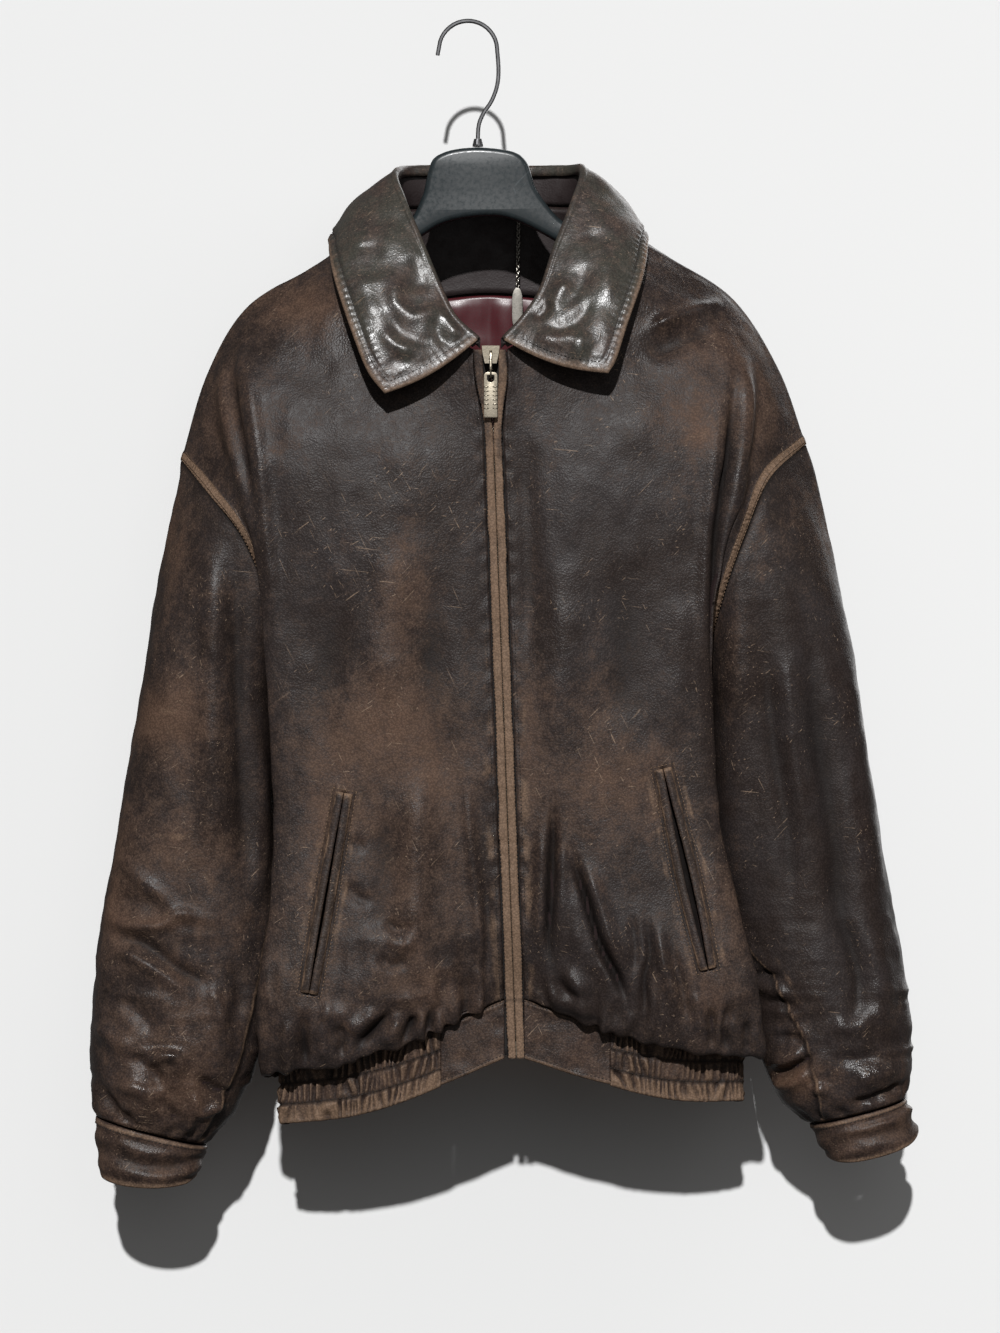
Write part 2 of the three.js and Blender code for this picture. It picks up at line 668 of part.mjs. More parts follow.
const slider = { top: 7, waist: 6.2, bottom: 4.6, waistDrop: 7, plate: 1.9, post: 1.1 };
slider.frontBackY = -70.2;       // the rear faces of its two plates
slider.rearBackY = -59.6;
const bail = { radius: 3.2, wire: 0.75, arm: 1.2 };
const sliderX = openingAt(sliderZ[0]);
const sliderOutline = [
  [sliderX - slider.top, sliderZ[1]], [sliderX - slider.waist, sliderZ[1] - slider.waistDrop],
  [sliderX - slider.bottom, sliderZ[0]], [sliderX + slider.bottom, sliderZ[0]],
  [sliderX + slider.waist, sliderZ[1] - slider.waistDrop], [sliderX + slider.top, sliderZ[1]],
];
const post = new THREE.BoxGeometry(slider.post * 2, slider.rearBackY - slider.frontBackY, 4);
post.translate(sliderX, (slider.rearBackY + slider.frontBackY) / 2, sliderZ[1] - 4);
const ringGeometry = new THREE.TorusGeometry(bail.radius, bail.wire, 8, 20);
ringGeometry.rotateY(Math.PI / 2);
ringGeometry.translate(sliderX, pullAxis.y, pullAxis.z);
const armPath = curve([
  [sliderX, slider.frontBackY - 1, sliderZ[1] - 4],
  [sliderX, pullAxis.y + 1.2, sliderZ[1] - 6.5],
  [sliderX, pullAxis.y, sliderZ[0] - 1.5],
  [sliderX, pullAxis.y, pullAxis.z + bail.radius],
]);
function rod(pathPoints, radius, sides, steps) {
  const path = new THREE.CatmullRomCurve3(pathPoints, false, 'catmullrom', 0.5);
  const section = new THREE.Shape(Array.from({ length: sides }, (_, k) => {
    const angle = ((k + 0.5) / sides) * 2 * Math.PI;
    return new THREE.Vector2(radius * Math.cos(angle), radius * Math.sin(angle));
  }));
  return new THREE.ExtrudeGeometry(section, { steps, bevelEnabled: false, extrudePath: path });
}
const arm = rod(evenly(3).map(armPath), bail.arm, 8, 8);
const sliderSolid = [
  plate(sliderOutline, slider.rearBackY, slider.plate), post, ringGeometry, arm,
  plate(sliderOutline, slider.frontBackY, slider.plate),
].map(solidOf).reduce((sum, piece) => sum.add(piece));
add('zip_slider', geometryOf(sliderSolid), zipMetal);

// Pull tab: a plate with an eye, hanging from the bail.
const pullHalf = pullSize.width / 2;
const pullTop = pullSize.bar;
const pullShape = new THREE.Shape();
pullShape.moveTo(-pullHalf, pullTop - pullSize.length);
pullShape.lineTo(pullHalf, pullTop - pullSize.length);
const { corner } = pullSize;
pullShape.lineTo(pullHalf, pullTop - corner);
pullShape.absarc(pullHalf - corner, pullTop - corner, corner, 0, Math.PI / 2);
pullShape.absarc(-pullHalf + corner, pullTop - corner, corner, Math.PI / 2, Math.PI);
const eye = new THREE.Path();
const eyeHalf = pullSize.holeWidth / 2;
const eyeCentre = -pullSize.bar - pullSize.hole + eyeHalf;
eye.moveTo(-eyeHalf, -pullSize.bar);
eye.lineTo(eyeHalf, -pullSize.bar);
eye.lineTo(eyeHalf, eyeCentre);
eye.absarc(0, eyeCentre, eyeHalf, 0, -Math.PI, true);
pullShape.holes.push(eye);
const pull = new THREE.ExtrudeGeometry(pullShape, {
  depth: pullSize.thickness, bevelEnabled: false, curveSegments: 6,
});
pull.rotateX(Math.PI / 2);
pull.translate(0, pullSize.thickness / 2, 0);
const pullMesh = add('zip_pull', pull, zipMetal);
pullMesh.position.set(sliderX, pullAxis.y, pullAxis.z);

// Pocket welts: strips made from the front's own points, moved out.
// Each pocket runs from its upper to its lower end, given as [x, z] on the front.
const pockets = {
  right: { half: right, upper: [-98, -619], lower: [-125, -776] },
  left: { half: left, upper: [153, -600], lower: [188, -757] },
};
// The point of a front's surface at a given x and z, found by stepping along rows and columns.
function onFront(half, x, z) {
  let station = 10;
  let u = 0.45;
  const small = 1e-3;
  for (let k = 0; k < 12; k += 1) {
    const here = frontRow(half, station)(u);
    const byStation = frontRow(half, station + small)(u).sub(here).divideScalar(small);
    const byU = frontRow(half, station)(u + small).sub(here).divideScalar(small);
    const determinant = byStation.x * byU.z - byStation.z * byU.x;
    const [dx, dz] = [x - here.x, z - here.z];
    station += (dx * byU.z - dz * byU.x) / determinant;
    u += (byStation.x * dz - byStation.z * dx) / determinant;
  }
  return frontRow(half, station)(u);
}

const weltSteps = 8;
for (const [name, { half, upper, lower }] of Object.entries(pockets)) {
  const slot = new THREE.Vector2(lower[0] - upper[0], lower[1] - upper[1]);
  const across = new THREE.Vector2(-slot.y, slot.x).normalize();
  for (const [part, side] of [['outer', half.sign], ['inner', -half.sign]]) {
    const far = slotHalf + weltWidth;
    const edges = side > 0 ? [slotHalf, far] : [-far, -slotHalf];
    const rows = evenly(weltSteps).map((down) => edges.map((out) => {
      const x = upper[0] + slot.x * down + across.x * out;
      const z = upper[1] + slot.y * down + across.y * out;
      return onFront(half, x, z);
    }));
    const strip = orient(makeGrid(rows), -1);
    add(`welt_${part}_${name}`, wall(strip, weltThickness, weltLift + weltThickness), wornLeather);
  }
}

// Hanging chain and its plate, inside the back of the neck.
const chainLine = [[40, 46.5, -150], [39.6, 47, -180], [39, 47.5, -207]];
const chainTail = [[39, 48, -246], [38.6, 48.5, -262]];
add('hang_chain', rod(chainLine.map(vec), neckChainWire, 8, 4), zipMetal);
add('hang_chain_end', rod(chainTail.map(vec), neckChainWire, 8, 2), zipMetal);
const plateOutline = [[0, -208], [neckPlateHalf, -215], [neckPlateHalf, -237], [0, -245],
  [-neckPlateHalf, -237], [-neckPlateHalf, -215]].map(([x, z]) => [x + neckChainX, z]);
add('hang_plate', plate(plateOutline, 48.6, neckPlateThickness), zipMetal);

// Hanger: a moulded body with a waisted neck plate, a wire hook and a ferrule.
const hangerTop = [[-29, -110], [-20, -104.5], [-8, -101.6], [7, hangerTopZ], [24, -101.8],
  [38, -105], [46, -112]];
const hangerRight = [[54, -134], [66, -151], [80, -163], [112, -177], [160, -205], [202, -231],
  [211, -242]];
const hangerUnder = [[208, -254], [196, -258], [150, -228], [104, -200], [71, -177], [38, -160],
  [14, -156], [-18, -161], [-41, -174], [-76, -199], [-120, -230], [-156, -257], [-170, -266]];
const hangerLeft = [[-180, -262], [-182, -252], [-140, -222], [-92, -191], [-62, -171],
  [-46, -157], [-37, -138]];
const hangerShape = new THREE.Shape(
  [...hangerTop, ...hangerRight, ...hangerUnder, ...hangerLeft].map(([x, z]) => new THREE.Vector2(x, z)),
);
const hangerRound = 4.5;
const hangerGeometry = new THREE.ExtrudeGeometry(hangerShape, {
  depth: hangerDepth - 2 * hangerRound,
  bevelEnabled: true,
  bevelThickness: hangerRound,
  bevelSize: hangerRound,
  bevelOffset: -hangerRound,
  bevelSegments: 3,
});
hangerGeometry.rotateX(Math.PI / 2);
hangerGeometry.translate(0, (hangerDepth - 2 * hangerRound) / 2, 0);
const spots = hangerGeometry.attributes.position;
for (let k = 0; k < spots.count; k += 1) {
  const reach = smooth(60, 190, Math.abs(spots.getX(k) - 11));
  const widen = THREE.MathUtils.lerp(1, hangerEndDepth / hangerDepth, reach);
  spots.setY(k, spots.getY(k) * widen + hangerEndSetback * reach);
}
add('hanger_body', hangerGeometry, hangerPlastic);

const hookTip = THREE.MathUtils.degToRad(176);
const arcSteps = 14;
const [hookX, hookZ] = hookCentre;
const hookPath = Array.from({ length: arcSteps + 1 }, (_, k) => {
  const angle = hookTip * (1 - k / arcSteps);
  return new THREE.Vector3(hookX + hookRadius * Math.cos(angle), 0, hookZ + hookRadius * Math.sin(angle));
});
hookPath.unshift(new THREE.Vector3(-25.6, 0, -26));
for (const [x, z] of [[23.6, -38], [22.4, -51], [18, -63], [12, -72], [8, -81], [7, -90], [7, -100]]) {
  hookPath.push(new THREE.Vector3(x, 0, z));
}
add('hanger_hook', rod(hookPath, hookWire / 2, 8, 44), chrome);

const ferruleInner = hookWire / 2 + 0.4;
const ferrule = new THREE.LatheGeometry([
  [ferruleInner, -6], [4.4, -6], [4.4, -4.8], [3.2, 0], [ferruleInner, 0], [ferruleInner, -6],
].map(([r, z]) => new THREE.Vector2(r, z)), 20);
ferrule.rotateX(Math.PI / 2);
ferrule.translate(7, 0, -93.6);
add('hook_ferrule', ferrule, chrome);

export default jacket;
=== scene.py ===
import json
import math

import bmesh
import bpy
import numpy as np
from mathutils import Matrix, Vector

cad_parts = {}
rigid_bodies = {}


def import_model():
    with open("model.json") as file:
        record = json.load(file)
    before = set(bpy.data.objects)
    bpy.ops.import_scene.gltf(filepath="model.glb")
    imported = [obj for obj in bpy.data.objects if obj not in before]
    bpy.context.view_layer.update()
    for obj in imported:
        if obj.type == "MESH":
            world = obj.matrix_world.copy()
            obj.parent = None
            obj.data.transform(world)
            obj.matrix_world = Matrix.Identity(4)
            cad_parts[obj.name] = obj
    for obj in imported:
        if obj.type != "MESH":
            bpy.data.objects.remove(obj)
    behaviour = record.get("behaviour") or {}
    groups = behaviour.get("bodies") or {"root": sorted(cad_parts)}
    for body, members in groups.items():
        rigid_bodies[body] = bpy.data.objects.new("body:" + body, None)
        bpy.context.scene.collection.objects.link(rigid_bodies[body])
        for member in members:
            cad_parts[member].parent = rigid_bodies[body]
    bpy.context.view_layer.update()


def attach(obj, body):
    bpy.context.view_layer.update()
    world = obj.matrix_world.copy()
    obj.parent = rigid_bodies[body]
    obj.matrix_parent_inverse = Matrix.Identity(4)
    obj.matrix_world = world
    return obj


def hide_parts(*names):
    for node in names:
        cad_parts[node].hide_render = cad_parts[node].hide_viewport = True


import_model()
print("frame loaded")

mm = 0.001  # one millimetre in scene units


def smooth(low, high, x):
    t = np.clip((np.asarray(x, float) - low) / (high - low), 0, 1)
    return t * t * (3 - 2 * t)


# A bell about 0: 1 in the middle and a third of that at the width.
def hump(distance, width, power=2):
    return np.exp(-((distance / width) ** power))


# A smooth curve through the points, read at shares t of its length in points.
def spline(points, t):
    points = np.asarray(points, float)
    t = np.clip(np.atleast_1d(np.asarray(t, float)), 0, 1)
    last = points.shape[-2] - 1
    before = 2 * points[..., :1, :] - points[..., 1:2, :]
    after = 2 * points[..., -1:, :] - points[..., -2:-1, :]
    full = np.concatenate([before, points, after], axis=-2)
    place = t * last
    k = np.minimum(place.astype(int), last - 1)
    f = (place - k)[:, None]
    a, b, c, d = (full[..., k + i, :] for i in range(4))
    return 0.5 * (2 * b + (c - a) * f + (2 * a - 5 * b + 4 * c - d) * f**2 + (3 * b - a - 3 * c + d) * f**3)


# A guide line with a point at each station; corners start a fresh curve.
def guide(points, corners=()):
    points = np.asarray(points, float)
    ends = [0, *corners, len(points) - 1]

    def at(stations):
        stations = np.atleast_1d(np.asarray(stations, float))
        found = np.empty((len(stations), points.shape[1]))
        for start, stop in zip(ends, ends[1:]):
            here = (stations >= start) & (stations <= stop)
            found[here] = spline(points[start:stop + 1], (stations[here] - start) / (stop - start))
        return found

    return at


def between(values):
    line = guide(np.array(values, float)[:, None])
    return lambda stations: line(stations)[:, 0]


# Parameters spaced evenly along a family of lines given at dense parameters.
def evenly(dense, lines, spacing):
    steps = np.max([np.linalg.norm(np.diff(line, axis=0), axis=1) for line in lines], axis=0)
    run = np.concatenate([[0], np.cumsum(steps)])
    count = max(2 * int(round(run[-1] / spacing / 2)), 4)
    return np.interp(np.linspace(0, run[-1], count + 1), run, dense)


def runAlong(line):
    return np.concatenate([[0], np.cumsum(np.linalg.norm(np.diff(line, axis=0), axis=1))])


def arcAlong(grid, axis):
    steps = np.linalg.norm(np.diff(grid, axis=axis), axis=2)
    return np.pad(np.cumsum(steps, axis=axis), [(1, 0), (0, 0)] if axis == 0 else [(0, 0), (1, 0)])


def outwardOf(grid, side, wrap=False):
    across = np.roll(grid, -1, 1) - np.roll(grid, 1, 1) if wrap else np.gradient(grid, axis=1)
    normal = np.cross(across, np.gradient(grid, axis=0))
    length = np.linalg.norm(normal, axis=2, keepdims=True)
    return side * normal / np.maximum(length, 1e-9)


noiseTable = np.random.default_rng(7).random(8192)


# Smooth noise from 0 to 1 over points given in millimetres; scale is the size of its cells.
def noise(points, scale, seed):
    place = np.asarray(points, float) / np.asarray(scale, float) + seed * 17.31
    cell = np.floor(place).astype(np.int64)
    f = place - cell
    f = f * f * (3 - 2 * f)
    total = np.zeros(place.shape[:-1])
    for corner in np.ndindex(2, 2, 2):
        at = cell + corner
        key = (at[..., 0] * 73856093) ^ (at[..., 1] * 19349663) ^ (at[..., 2] * 83492791)
        weight = np.prod(np.where(corner, f, 1 - f), axis=-1)
        total += noiseTable[key & 8191] * weight
    return total


def uneven(points, scale, seed):
    return noise(points, scale, seed) - 0.5


def ridged(points, scale, seed):
    return 1 - np.abs(2 * noise(points, scale, seed) - 1)


def highest(first, *others):
    for other in others:
        first = np.maximum(first, other)
    return first


# Distance to a drawn line in the XZ plane, how far along it (0 to 1), and on which side.
def nearPath(x, z, path):
    path = np.asarray(path, float)
    path = spline(path, np.linspace(0, 1, 5 * len(path)))
    steps = np.linalg.norm(np.diff(path, axis=0), axis=1)
    far = np.full(np.shape(x), 1e9)
    run = np.zeros(np.shape(x))
    side = np.zeros(np.shape(x))
    start = 0.0
    for here, there, step in zip(path[:-1], path[1:], steps):
        d = (there - here) / step
        t = np.clip((x - here[0]) * d[0] + (z - here[1]) * d[1], 0, step)
        dx = x - here[0] - t * d[0]
        dz = z - here[1] - t * d[1]
        distance = np.hypot(dx, dz)
        closer = distance < far
        far = np.where(closer, distance, far)
        run = np.where(closer, (start + t) / steps.sum(), run)
        side = np.where(closer, np.sign(d[0] * dz - d[1] * dx), side)
        start += step
    return far, run, side


# A soft ridge (height above 0) or trough along a drawn line; lean makes one flank steeper.
def stroke(x, z, path, width, height, lean=0.0):
    far, run, side = nearPath(x, z, path)
    ends = (0.12 + smooth(0, 0.3, run)) * (0.12 + 1 - smooth(0.7, 1, run)) / 1.25
    return height * ends * hump(far, width * (1 + lean * side))


def strokes(x, z, drawn):
    return sum((stroke(x, z, *one) for one in drawn), np.zeros(np.shape(x)))


def blobs(x, z, spots):
    total = np.zeros(np.shape(x))
    for cx, cz, rx, rz, strength in spots:
        total += strength * np.exp(-(((x - cx) / rx) ** 2 + ((z - cz) / rz) ** 2))
    return total


# Distance from each point to a line in space, and how far along the line, in millimetres.
def nearLine(points, line):
    flat = points.reshape(-1, 3)
    run = runAlong(line)
    far = np.full(len(flat), 1e9)
    along = np.zeros(len(flat))
    for k in range(len(line) - 1):
        d = line[k + 1] - line[k]
        length = np.linalg.norm(d)
        if length < 1e-6:
            continue
        t = np.clip((flat - line[k]) @ d / length**2, 0, 1)
        distance = np.linalg.norm(flat - line[k] - t[:, None] * d, axis=1)
        closer = distance < far
        far[closer] = distance[closer]
        along[closer] = run[k] + t[closer] * length
    return far.reshape(points.shape[:-1]), along.reshape(points.shape[:-1])


# Pulls a border of a grid back along the surface, to leave a seam's gap.
def inset(grid, borders, distance):
    grid = grid.copy()
    for border in borders:
        view = {"top": grid, "bottom": grid[::-1], "start": grid.swapaxes(0, 1),
                "end": grid[:, ::-1].swapaxes(0, 1)}[border]
        step = view[1] - view[0]
        length = np.linalg.norm(step, axis=1, keepdims=True)
        view[0] += step * np.minimum(0.45, distance / np.maximum(length, 1e-9))
    return grid


pieceMaterials = {}
fieldNames = ("wear", "edge", "crease", "gloss", "inside", "seamFar", "seamRun")
noSeam = 999.0  # what seamFar says where a piece has no stitched seam


def addObject(name, data):
    made = bpy.data.objects.new(name, data)
    bpy.context.scene.collection.objects.link(made)
    return made


def meshObject(name, vertices, faces, smoothFaces, fields=None):
    mesh = bpy.data.meshes.new(name)
    mesh.from_pydata((np.asarray(vertices) * mm).tolist(), [], faces)
    mesh.polygons.foreach_set("use_smooth", smoothFaces)
    for field, values in (fields or {}).items():
        attribute = mesh.attributes.new(field, "FLOAT", "POINT")
        attribute.data.foreach_set("value", np.asarray(values, np.float32))
    mesh.update()
    return addObject(name, mesh)


def quadFaces(rows, columns, wrap, turned=False):
    i, j = np.meshgrid(np.arange(rows - 1), np.arange(columns if wrap else columns - 1), indexing="ij")
    beside = (j + 1) % columns
    corners = [i * columns + j, i * columns + beside, (i + 1) * columns + beside, (i + 1) * columns + j]
    return np.stack(corners[:1] + corners[:0:-1] if turned else corners, -1).reshape(-1, 4)


# A closed wall: the grid is its outer face; the inner face is half as fine.
def cloth(name, grid, outward, thickness, fields, wrap=False, rounded=()):
    rows, columns = grid.shape[:2]
    thick = np.broadcast_to(np.asarray(thickness, float), (rows, columns))[..., None]
    outer = grid.copy()
    for border in rounded:
        edge = {"top": np.s_[0, :], "bottom": np.s_[-1, :], "start": np.s_[:, 0], "end": np.s_[:, -1]}[border]
        outer[edge] -= outward[edge] * 0.3 * thick[edge]
    inner = (grid - outward * thick)[::2, ::2]
    shift = rows * columns
    ids = np.arange(shift).reshape(rows, columns)
    innerIds = shift + np.arange(inner[..., 0].size).reshape(inner.shape[:2])
    faces = quadFaces(rows, columns, wrap).tolist()
    faces += (shift + quadFaces(*innerIds.shape, wrap, True)).tolist()
    smoothFaces = [True] * len(faces)

    def rim(outerIds, innerIds, turn, closed=False):
        count = len(innerIds) if closed else len(innerIds) - 1
        for k in range(count):
            a, b, c = outerIds[2 * k], outerIds[2 * k + 1], outerIds[(2 * k + 2) % len(outerIds)]
            p, q = innerIds[k], innerIds[(k + 1) % len(innerIds)]
            for triangle in ((a, p, b), (b, p, q), (b, q, c)):
                faces.append(triangle if turn else triangle[::-1])
                smoothFaces.append(False)

    rim(ids[0].tolist(), innerIds[0].tolist(), True, wrap)
    rim(ids[-1].tolist(), innerIds[-1].tolist(), False, wrap)
    if not wrap:
        rim(ids[:, 0].tolist(), innerIds[:, 0].tolist(), False)
        rim(ids[:, -1].tolist(), innerIds[:, -1].tolist(), True)
    vertices = np.concatenate([outer.reshape(-1, 3), inner.reshape(-1, 3)])
    p = vertices[np.array([face[:3] for face in faces])]
    if np.einsum("ij,ij->i", p[:, 0], np.cross(p[:, 1], p[:, 2])).sum() < 0:  # inside out
        faces = [face[::-1] for face in faces]
    values = {}
    for field in fieldNames:
        given = fields.get(field, noSeam if field == "seamFar" else 0.0)
        plain = np.broadcast_to(np.asarray(given, float), (rows, columns))
        within = np.ones(innerIds.size) if field == "inside" else plain[::2, ::2].reshape(-1)
        values[field] = np.concatenate([plain.reshape(-1), within])
    return meshObject(name, vertices, faces, smoothFaces, values)


def finishPiece(piece, node, material):
    piece.data.materials.append(pieceMaterials[material])
    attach(piece, "jacket")
    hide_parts(node)


def setInputs(tree, node, inputs):
    for name, value in inputs.items():
        if isinstance(value, bpy.types.NodeSocket):
            tree.links.new(value, node.inputs[name])
        else:
            node.inputs[name].default_value = value


def addNode(tree, kind, inputs=None, **settings):
    node = tree.nodes.new(kind)
    for name, value in settings.items():
        setattr(node, name, value)
    setInputs(tree, node, inputs or {})
    return node


def calc(tree, operation, a, b=0.0, clamp=False):
    return addNode(tree, "ShaderNodeMath", {0: a, 1: b}, operation=operation, use_clamp=clamp).outputs[0]


def chained(tree, operation, first, *others):
    for other in others:
        first = calc(tree, operation, first, other)
    return first


def plus(tree, *values):
    return chained(tree, "ADD", *values)


def times(tree, *values):
    return chained(tree, "MULTIPLY", *values)


def remap(tree, value, low, high, outLow=0.0, outHigh=1.0):
    names = {"Value": value, "From Min": low, "From Max": high, "To Min": outLow, "To Max": outHigh}
    return addNode(tree, "ShaderNodeMapRange", names, interpolation_type="SMOOTHSTEP").outputs[0]


def mixColour(tree, factor, a, b, mode="MIX"):
    a, b = (c if isinstance(c, bpy.types.NodeSocket) else (*c, 1.0) for c in (a, b))
    node = addNode(tree, "ShaderNodeMix", {0: factor, 6: a, 7: b}, data_type="RGBA", blend_type=mode)
    return node.outputs[2]


def readField(tree, name):
    return addNode(tree, "ShaderNodeAttribute", attribute_name=name).outputs["Fac"]


def ownPlace(tree):
    return addNode(tree, "ShaderNodeTexCoord").outputs["Object"]


def stretched(tree, place, scale):
    return addNode(tree, "ShaderNodeMapping", {"Vector": place, "Scale": scale}).outputs[0]


def noiseOf(tree, vector, scale, detail=2.0, rough=0.5):
    names = {"Vector": vector, "Scale": scale, "Detail": detail, "Roughness": rough}
    return addNode(tree, "ShaderNodeTexNoise", names).outputs["Fac"]


def bumpOf(tree, height, strength, distance, **under):
    names = {"Strength": strength, "Distance": distance, "Height": height, **under}
    return addNode(tree, "ShaderNodeBump", names).outputs[0]


def newGroup(name, inputs, outputs):
    tree = bpy.data.node_groups.new(name, "ShaderNodeTree")
    for socket, kind, value in inputs:
        tree.interface.new_socket(socket, in_out="INPUT", socket_type=kind).default_value = value
    for socket, kind in outputs:
        tree.interface.new_socket(socket, in_out="OUTPUT", socket_type=kind)
    return tree, tree.nodes.new("NodeGroupInput").outputs, tree.nodes.new("NodeGroupOutput").inputs


# The crease colour is the near-black of painted shade in folds, slots, grooves and under hems.
leather = {"cool": (0.031, 0.0245, 0.0235), "rubbed": (0.100, 0.058, 0.039), "dusty": (0.11, 0.078, 0.057),
           "edge": (0.185, 0.120, 0.080), "scratch": (0.24, 0.17, 0.12), "scratches": 0.8,
           "crease": (0.006, 0.004, 0.0035), "inside": (0.020, 0.012, 0.012), "seamLines": (1.6, 7.0)}


# Fine scratches as a mask: thin stretched noise in four directions.
def scratchGroup():
    tree, given, result = newGroup(
        "fineScratches", [("Amount", "NodeSocketFloat", 0.5)], [("Mask", "NodeSocketFloat")])
    place = ownPlace(tree)
    lines = []
    for turn, scale in (((0.1, 0.45, 0.2), (800, 800, 20)), ((0.2, -0.75, 0.4), (650, 650, 26)),
                        ((0.5, 1.45, 0.2), (760, 760, 22)), ((-0.3, 2.2, 0.1), (700, 700, 30))):
        turned = addNode(tree, "ShaderNodeVectorRotate", {"Vector": place, "Rotation": turn},
                         rotation_type="EULER_XYZ").outputs[0]
        lines.append(remap(tree, noiseOf(tree, stretched(tree, turned, scale), 1.0, 1.0), 0.715, 0.77))
    patches = remap(tree, noiseOf(tree, place, 22), 0.42, 0.62)
    mask = times(tree, chained(tree, "MAXIMUM", *lines), patches, given["Amount"])
    tree.links.new(mask, result["Mask"])
    return tree


# Leather's surface: pebbled grain, soft crumples and the puckers beside a seam, as a normal.
def grainGroup():
    tree, given, result = newGroup(
        "leatherGrain",
        [("Depth", "NodeSocketFloat", 0.5), ("Crumple", "NodeSocketFloat", 0.3),
         ("Pucker", "NodeSocketFloat", 1.0)],
        [("Normal", "NodeSocketVector"), ("Height", "NodeSocketFloat")])
    place = ownPlace(tree)
    bend = addNode(tree, "ShaderNodeTexNoise", {"Vector": place, "Scale": 260.0, "Detail": 1.0})
    bent = addNode(tree, "ShaderNodeVectorMath", {0: bend.outputs["Color"], 1: (0.0022,) * 3, 2: place},
                   operation="MULTIPLY_ADD")
    pebble = addNode(tree, "ShaderNodeTexVoronoi", {"Vector": bent.outputs[0], "Scale": 620.0})
    pebbles = remap(tree, pebble.outputs["Distance"], 0.15, 0.75, 1.0, 0.0)
    fine = plus(tree, times(tree, pebbles, 0.6), times(tree, noiseOf(tree, place, 1500), 0.4))
    crumple = noiseOf(tree, place, 95, 3.0, 0.55)
    broad = noiseOf(tree, stretched(tree, place, (1, 1, 0.55)), 34)
    soft = plus(tree, times(tree, crumple, 0.45), times(tree, broad, 0.8))
    far = readField(tree, "seamFar")
    wobble = times(tree, noiseOf(tree, place, 120, 1.0), 9.0)
    wave = calc(tree, "SINE", plus(tree, times(tree, readField(tree, "seamRun"), 1.18), wobble))
    strip = times(tree, remap(tree, far, 8.4, 6.0), remap(tree, far, 0.0, 1.4))
    gaps = [calc(tree, "ABSOLUTE", plus(tree, far, -line)) for line in leather["seamLines"]]
    groove = chained(tree, "MAXIMUM", *[remap(tree, gap, 0.9, 0.1) for gap in gaps])
    pucker = plus(tree, times(tree, strip, 0.7), times(tree, groove, -0.9), times(tree, wave, strip, 0.35))
    seam = bumpOf(tree, times(tree, pucker, given["Pucker"]), 0.8, 0.0011)
    crumpled = bumpOf(tree, soft, given["Crumple"], 0.006, Normal=seam)
    tree.links.new(bumpOf(tree, fine, given["Depth"], 0.0005, Normal=crumpled), result["Normal"])
    tree.links.new(fine, result["Height"])
    return tree


# Colour and roughness of worn leather from the fields on each piece and patchy noise, with painted shade in
# the creases.
def wearAndShadeGroup(scratches):
    tree, given, result = newGroup(
        "leatherWear",
        [("Base", "NodeSocketColor", (0.03, 0.02, 0.02, 1)), ("Amount", "NodeSocketFloat", 1.0),
         ("Base Roughness", "NodeSocketFloat", 0.45), ("Height", "NodeSocketFloat", 0.5)],
        [("Color", "NodeSocketColor"), ("Roughness", "NodeSocketFloat")])
    place = ownPlace(tree)
    patch = noiseOf(tree, stretched(tree, place, (1, 1, 0.6)), 24, 5.0, 0.66)
    mottle = noiseOf(tree, place, 85, 6.0, 0.75)
    speck = noiseOf(tree, place, 560, 4.0, 0.7)
    wear = times(tree, readField(tree, "wear"), given["Amount"])
    rubbed = plus(tree, times(tree, wear, 0.62), times(tree, patch, 1.35), times(tree, mottle, 1.25),
                  times(tree, speck, 0.80))
    rubbed = remap(tree, rubbed, 1.62, 2.62)
    cool = mixColour(tree, remap(tree, patch, 0.38, 0.62), given["Base"], leather["cool"])
    colour = mixColour(tree, rubbed, cool, leather["rubbed"])
    dusty = remap(tree, plus(tree, times(tree, mottle, 0.5), times(tree, speck, 0.5)), 0.47, 0.62)
    dusty = times(tree, dusty, remap(tree, wear, -0.5, 0.7, 0.06, 0.27))
    colour = mixColour(tree, dusty, colour, leather["dusty"])
    worn = plus(tree, times(tree, readField(tree, "edge"), 1.1), times(tree, mottle, 0.7),
                times(tree, speck, 0.35))
    worn = remap(tree, worn, 0.85, 1.55)
    colour = mixColour(tree, worn, colour, leather["edge"])
    marks = addNode(tree, "ShaderNodeGroup", {"Amount": leather["scratches"]}, node_tree=scratches)
    colour = mixColour(tree, marks.outputs["Mask"], colour, leather["scratch"])
    pits = remap(tree, given["Height"], 0.25, 0.6, 0.72, 1.06)
    colour = mixColour(tree, 1.0, colour, pits, "MULTIPLY")
    # Painted shade: this field mixes the colour towards near-black where folds, slots, seam grooves and hem
    # overlaps lie in shade, and makes those places rougher.
    dark = calc(tree, "MULTIPLY", readField(tree, "crease"), 1.0, True)
    within = readField(tree, "inside")
    colour = mixColour(tree, dark, colour, leather["crease"])
    colour = mixColour(tree, within, colour, leather["inside"])
    rough = plus(tree, given["Base Roughness"], times(tree, rubbed, 0.20), times(tree, worn, 0.10),
                 remap(tree, mottle, 0.3, 0.7, -0.05, 0.07), times(tree, readField(tree, "gloss"), -0.23),
                 times(tree, within, 0.25), times(tree, dark, 0.35))
    tree.links.new(colour, result["Color"])
    tree.links.new(calc(tree, "MAXIMUM", rough, 0.16), result["Roughness"])
    return tree


scratchTree = scratchGroup()
grainTree = grainGroup()
wearAndShadeTree = wearAndShadeGroup(scratchTree)


def newMaterial(name):
    material = bpy.data.materials.new(name)
    material.use_nodes = True
    pieceMaterials[name] = material
    return material.node_tree, material.node_tree.nodes["Principled BSDF"]


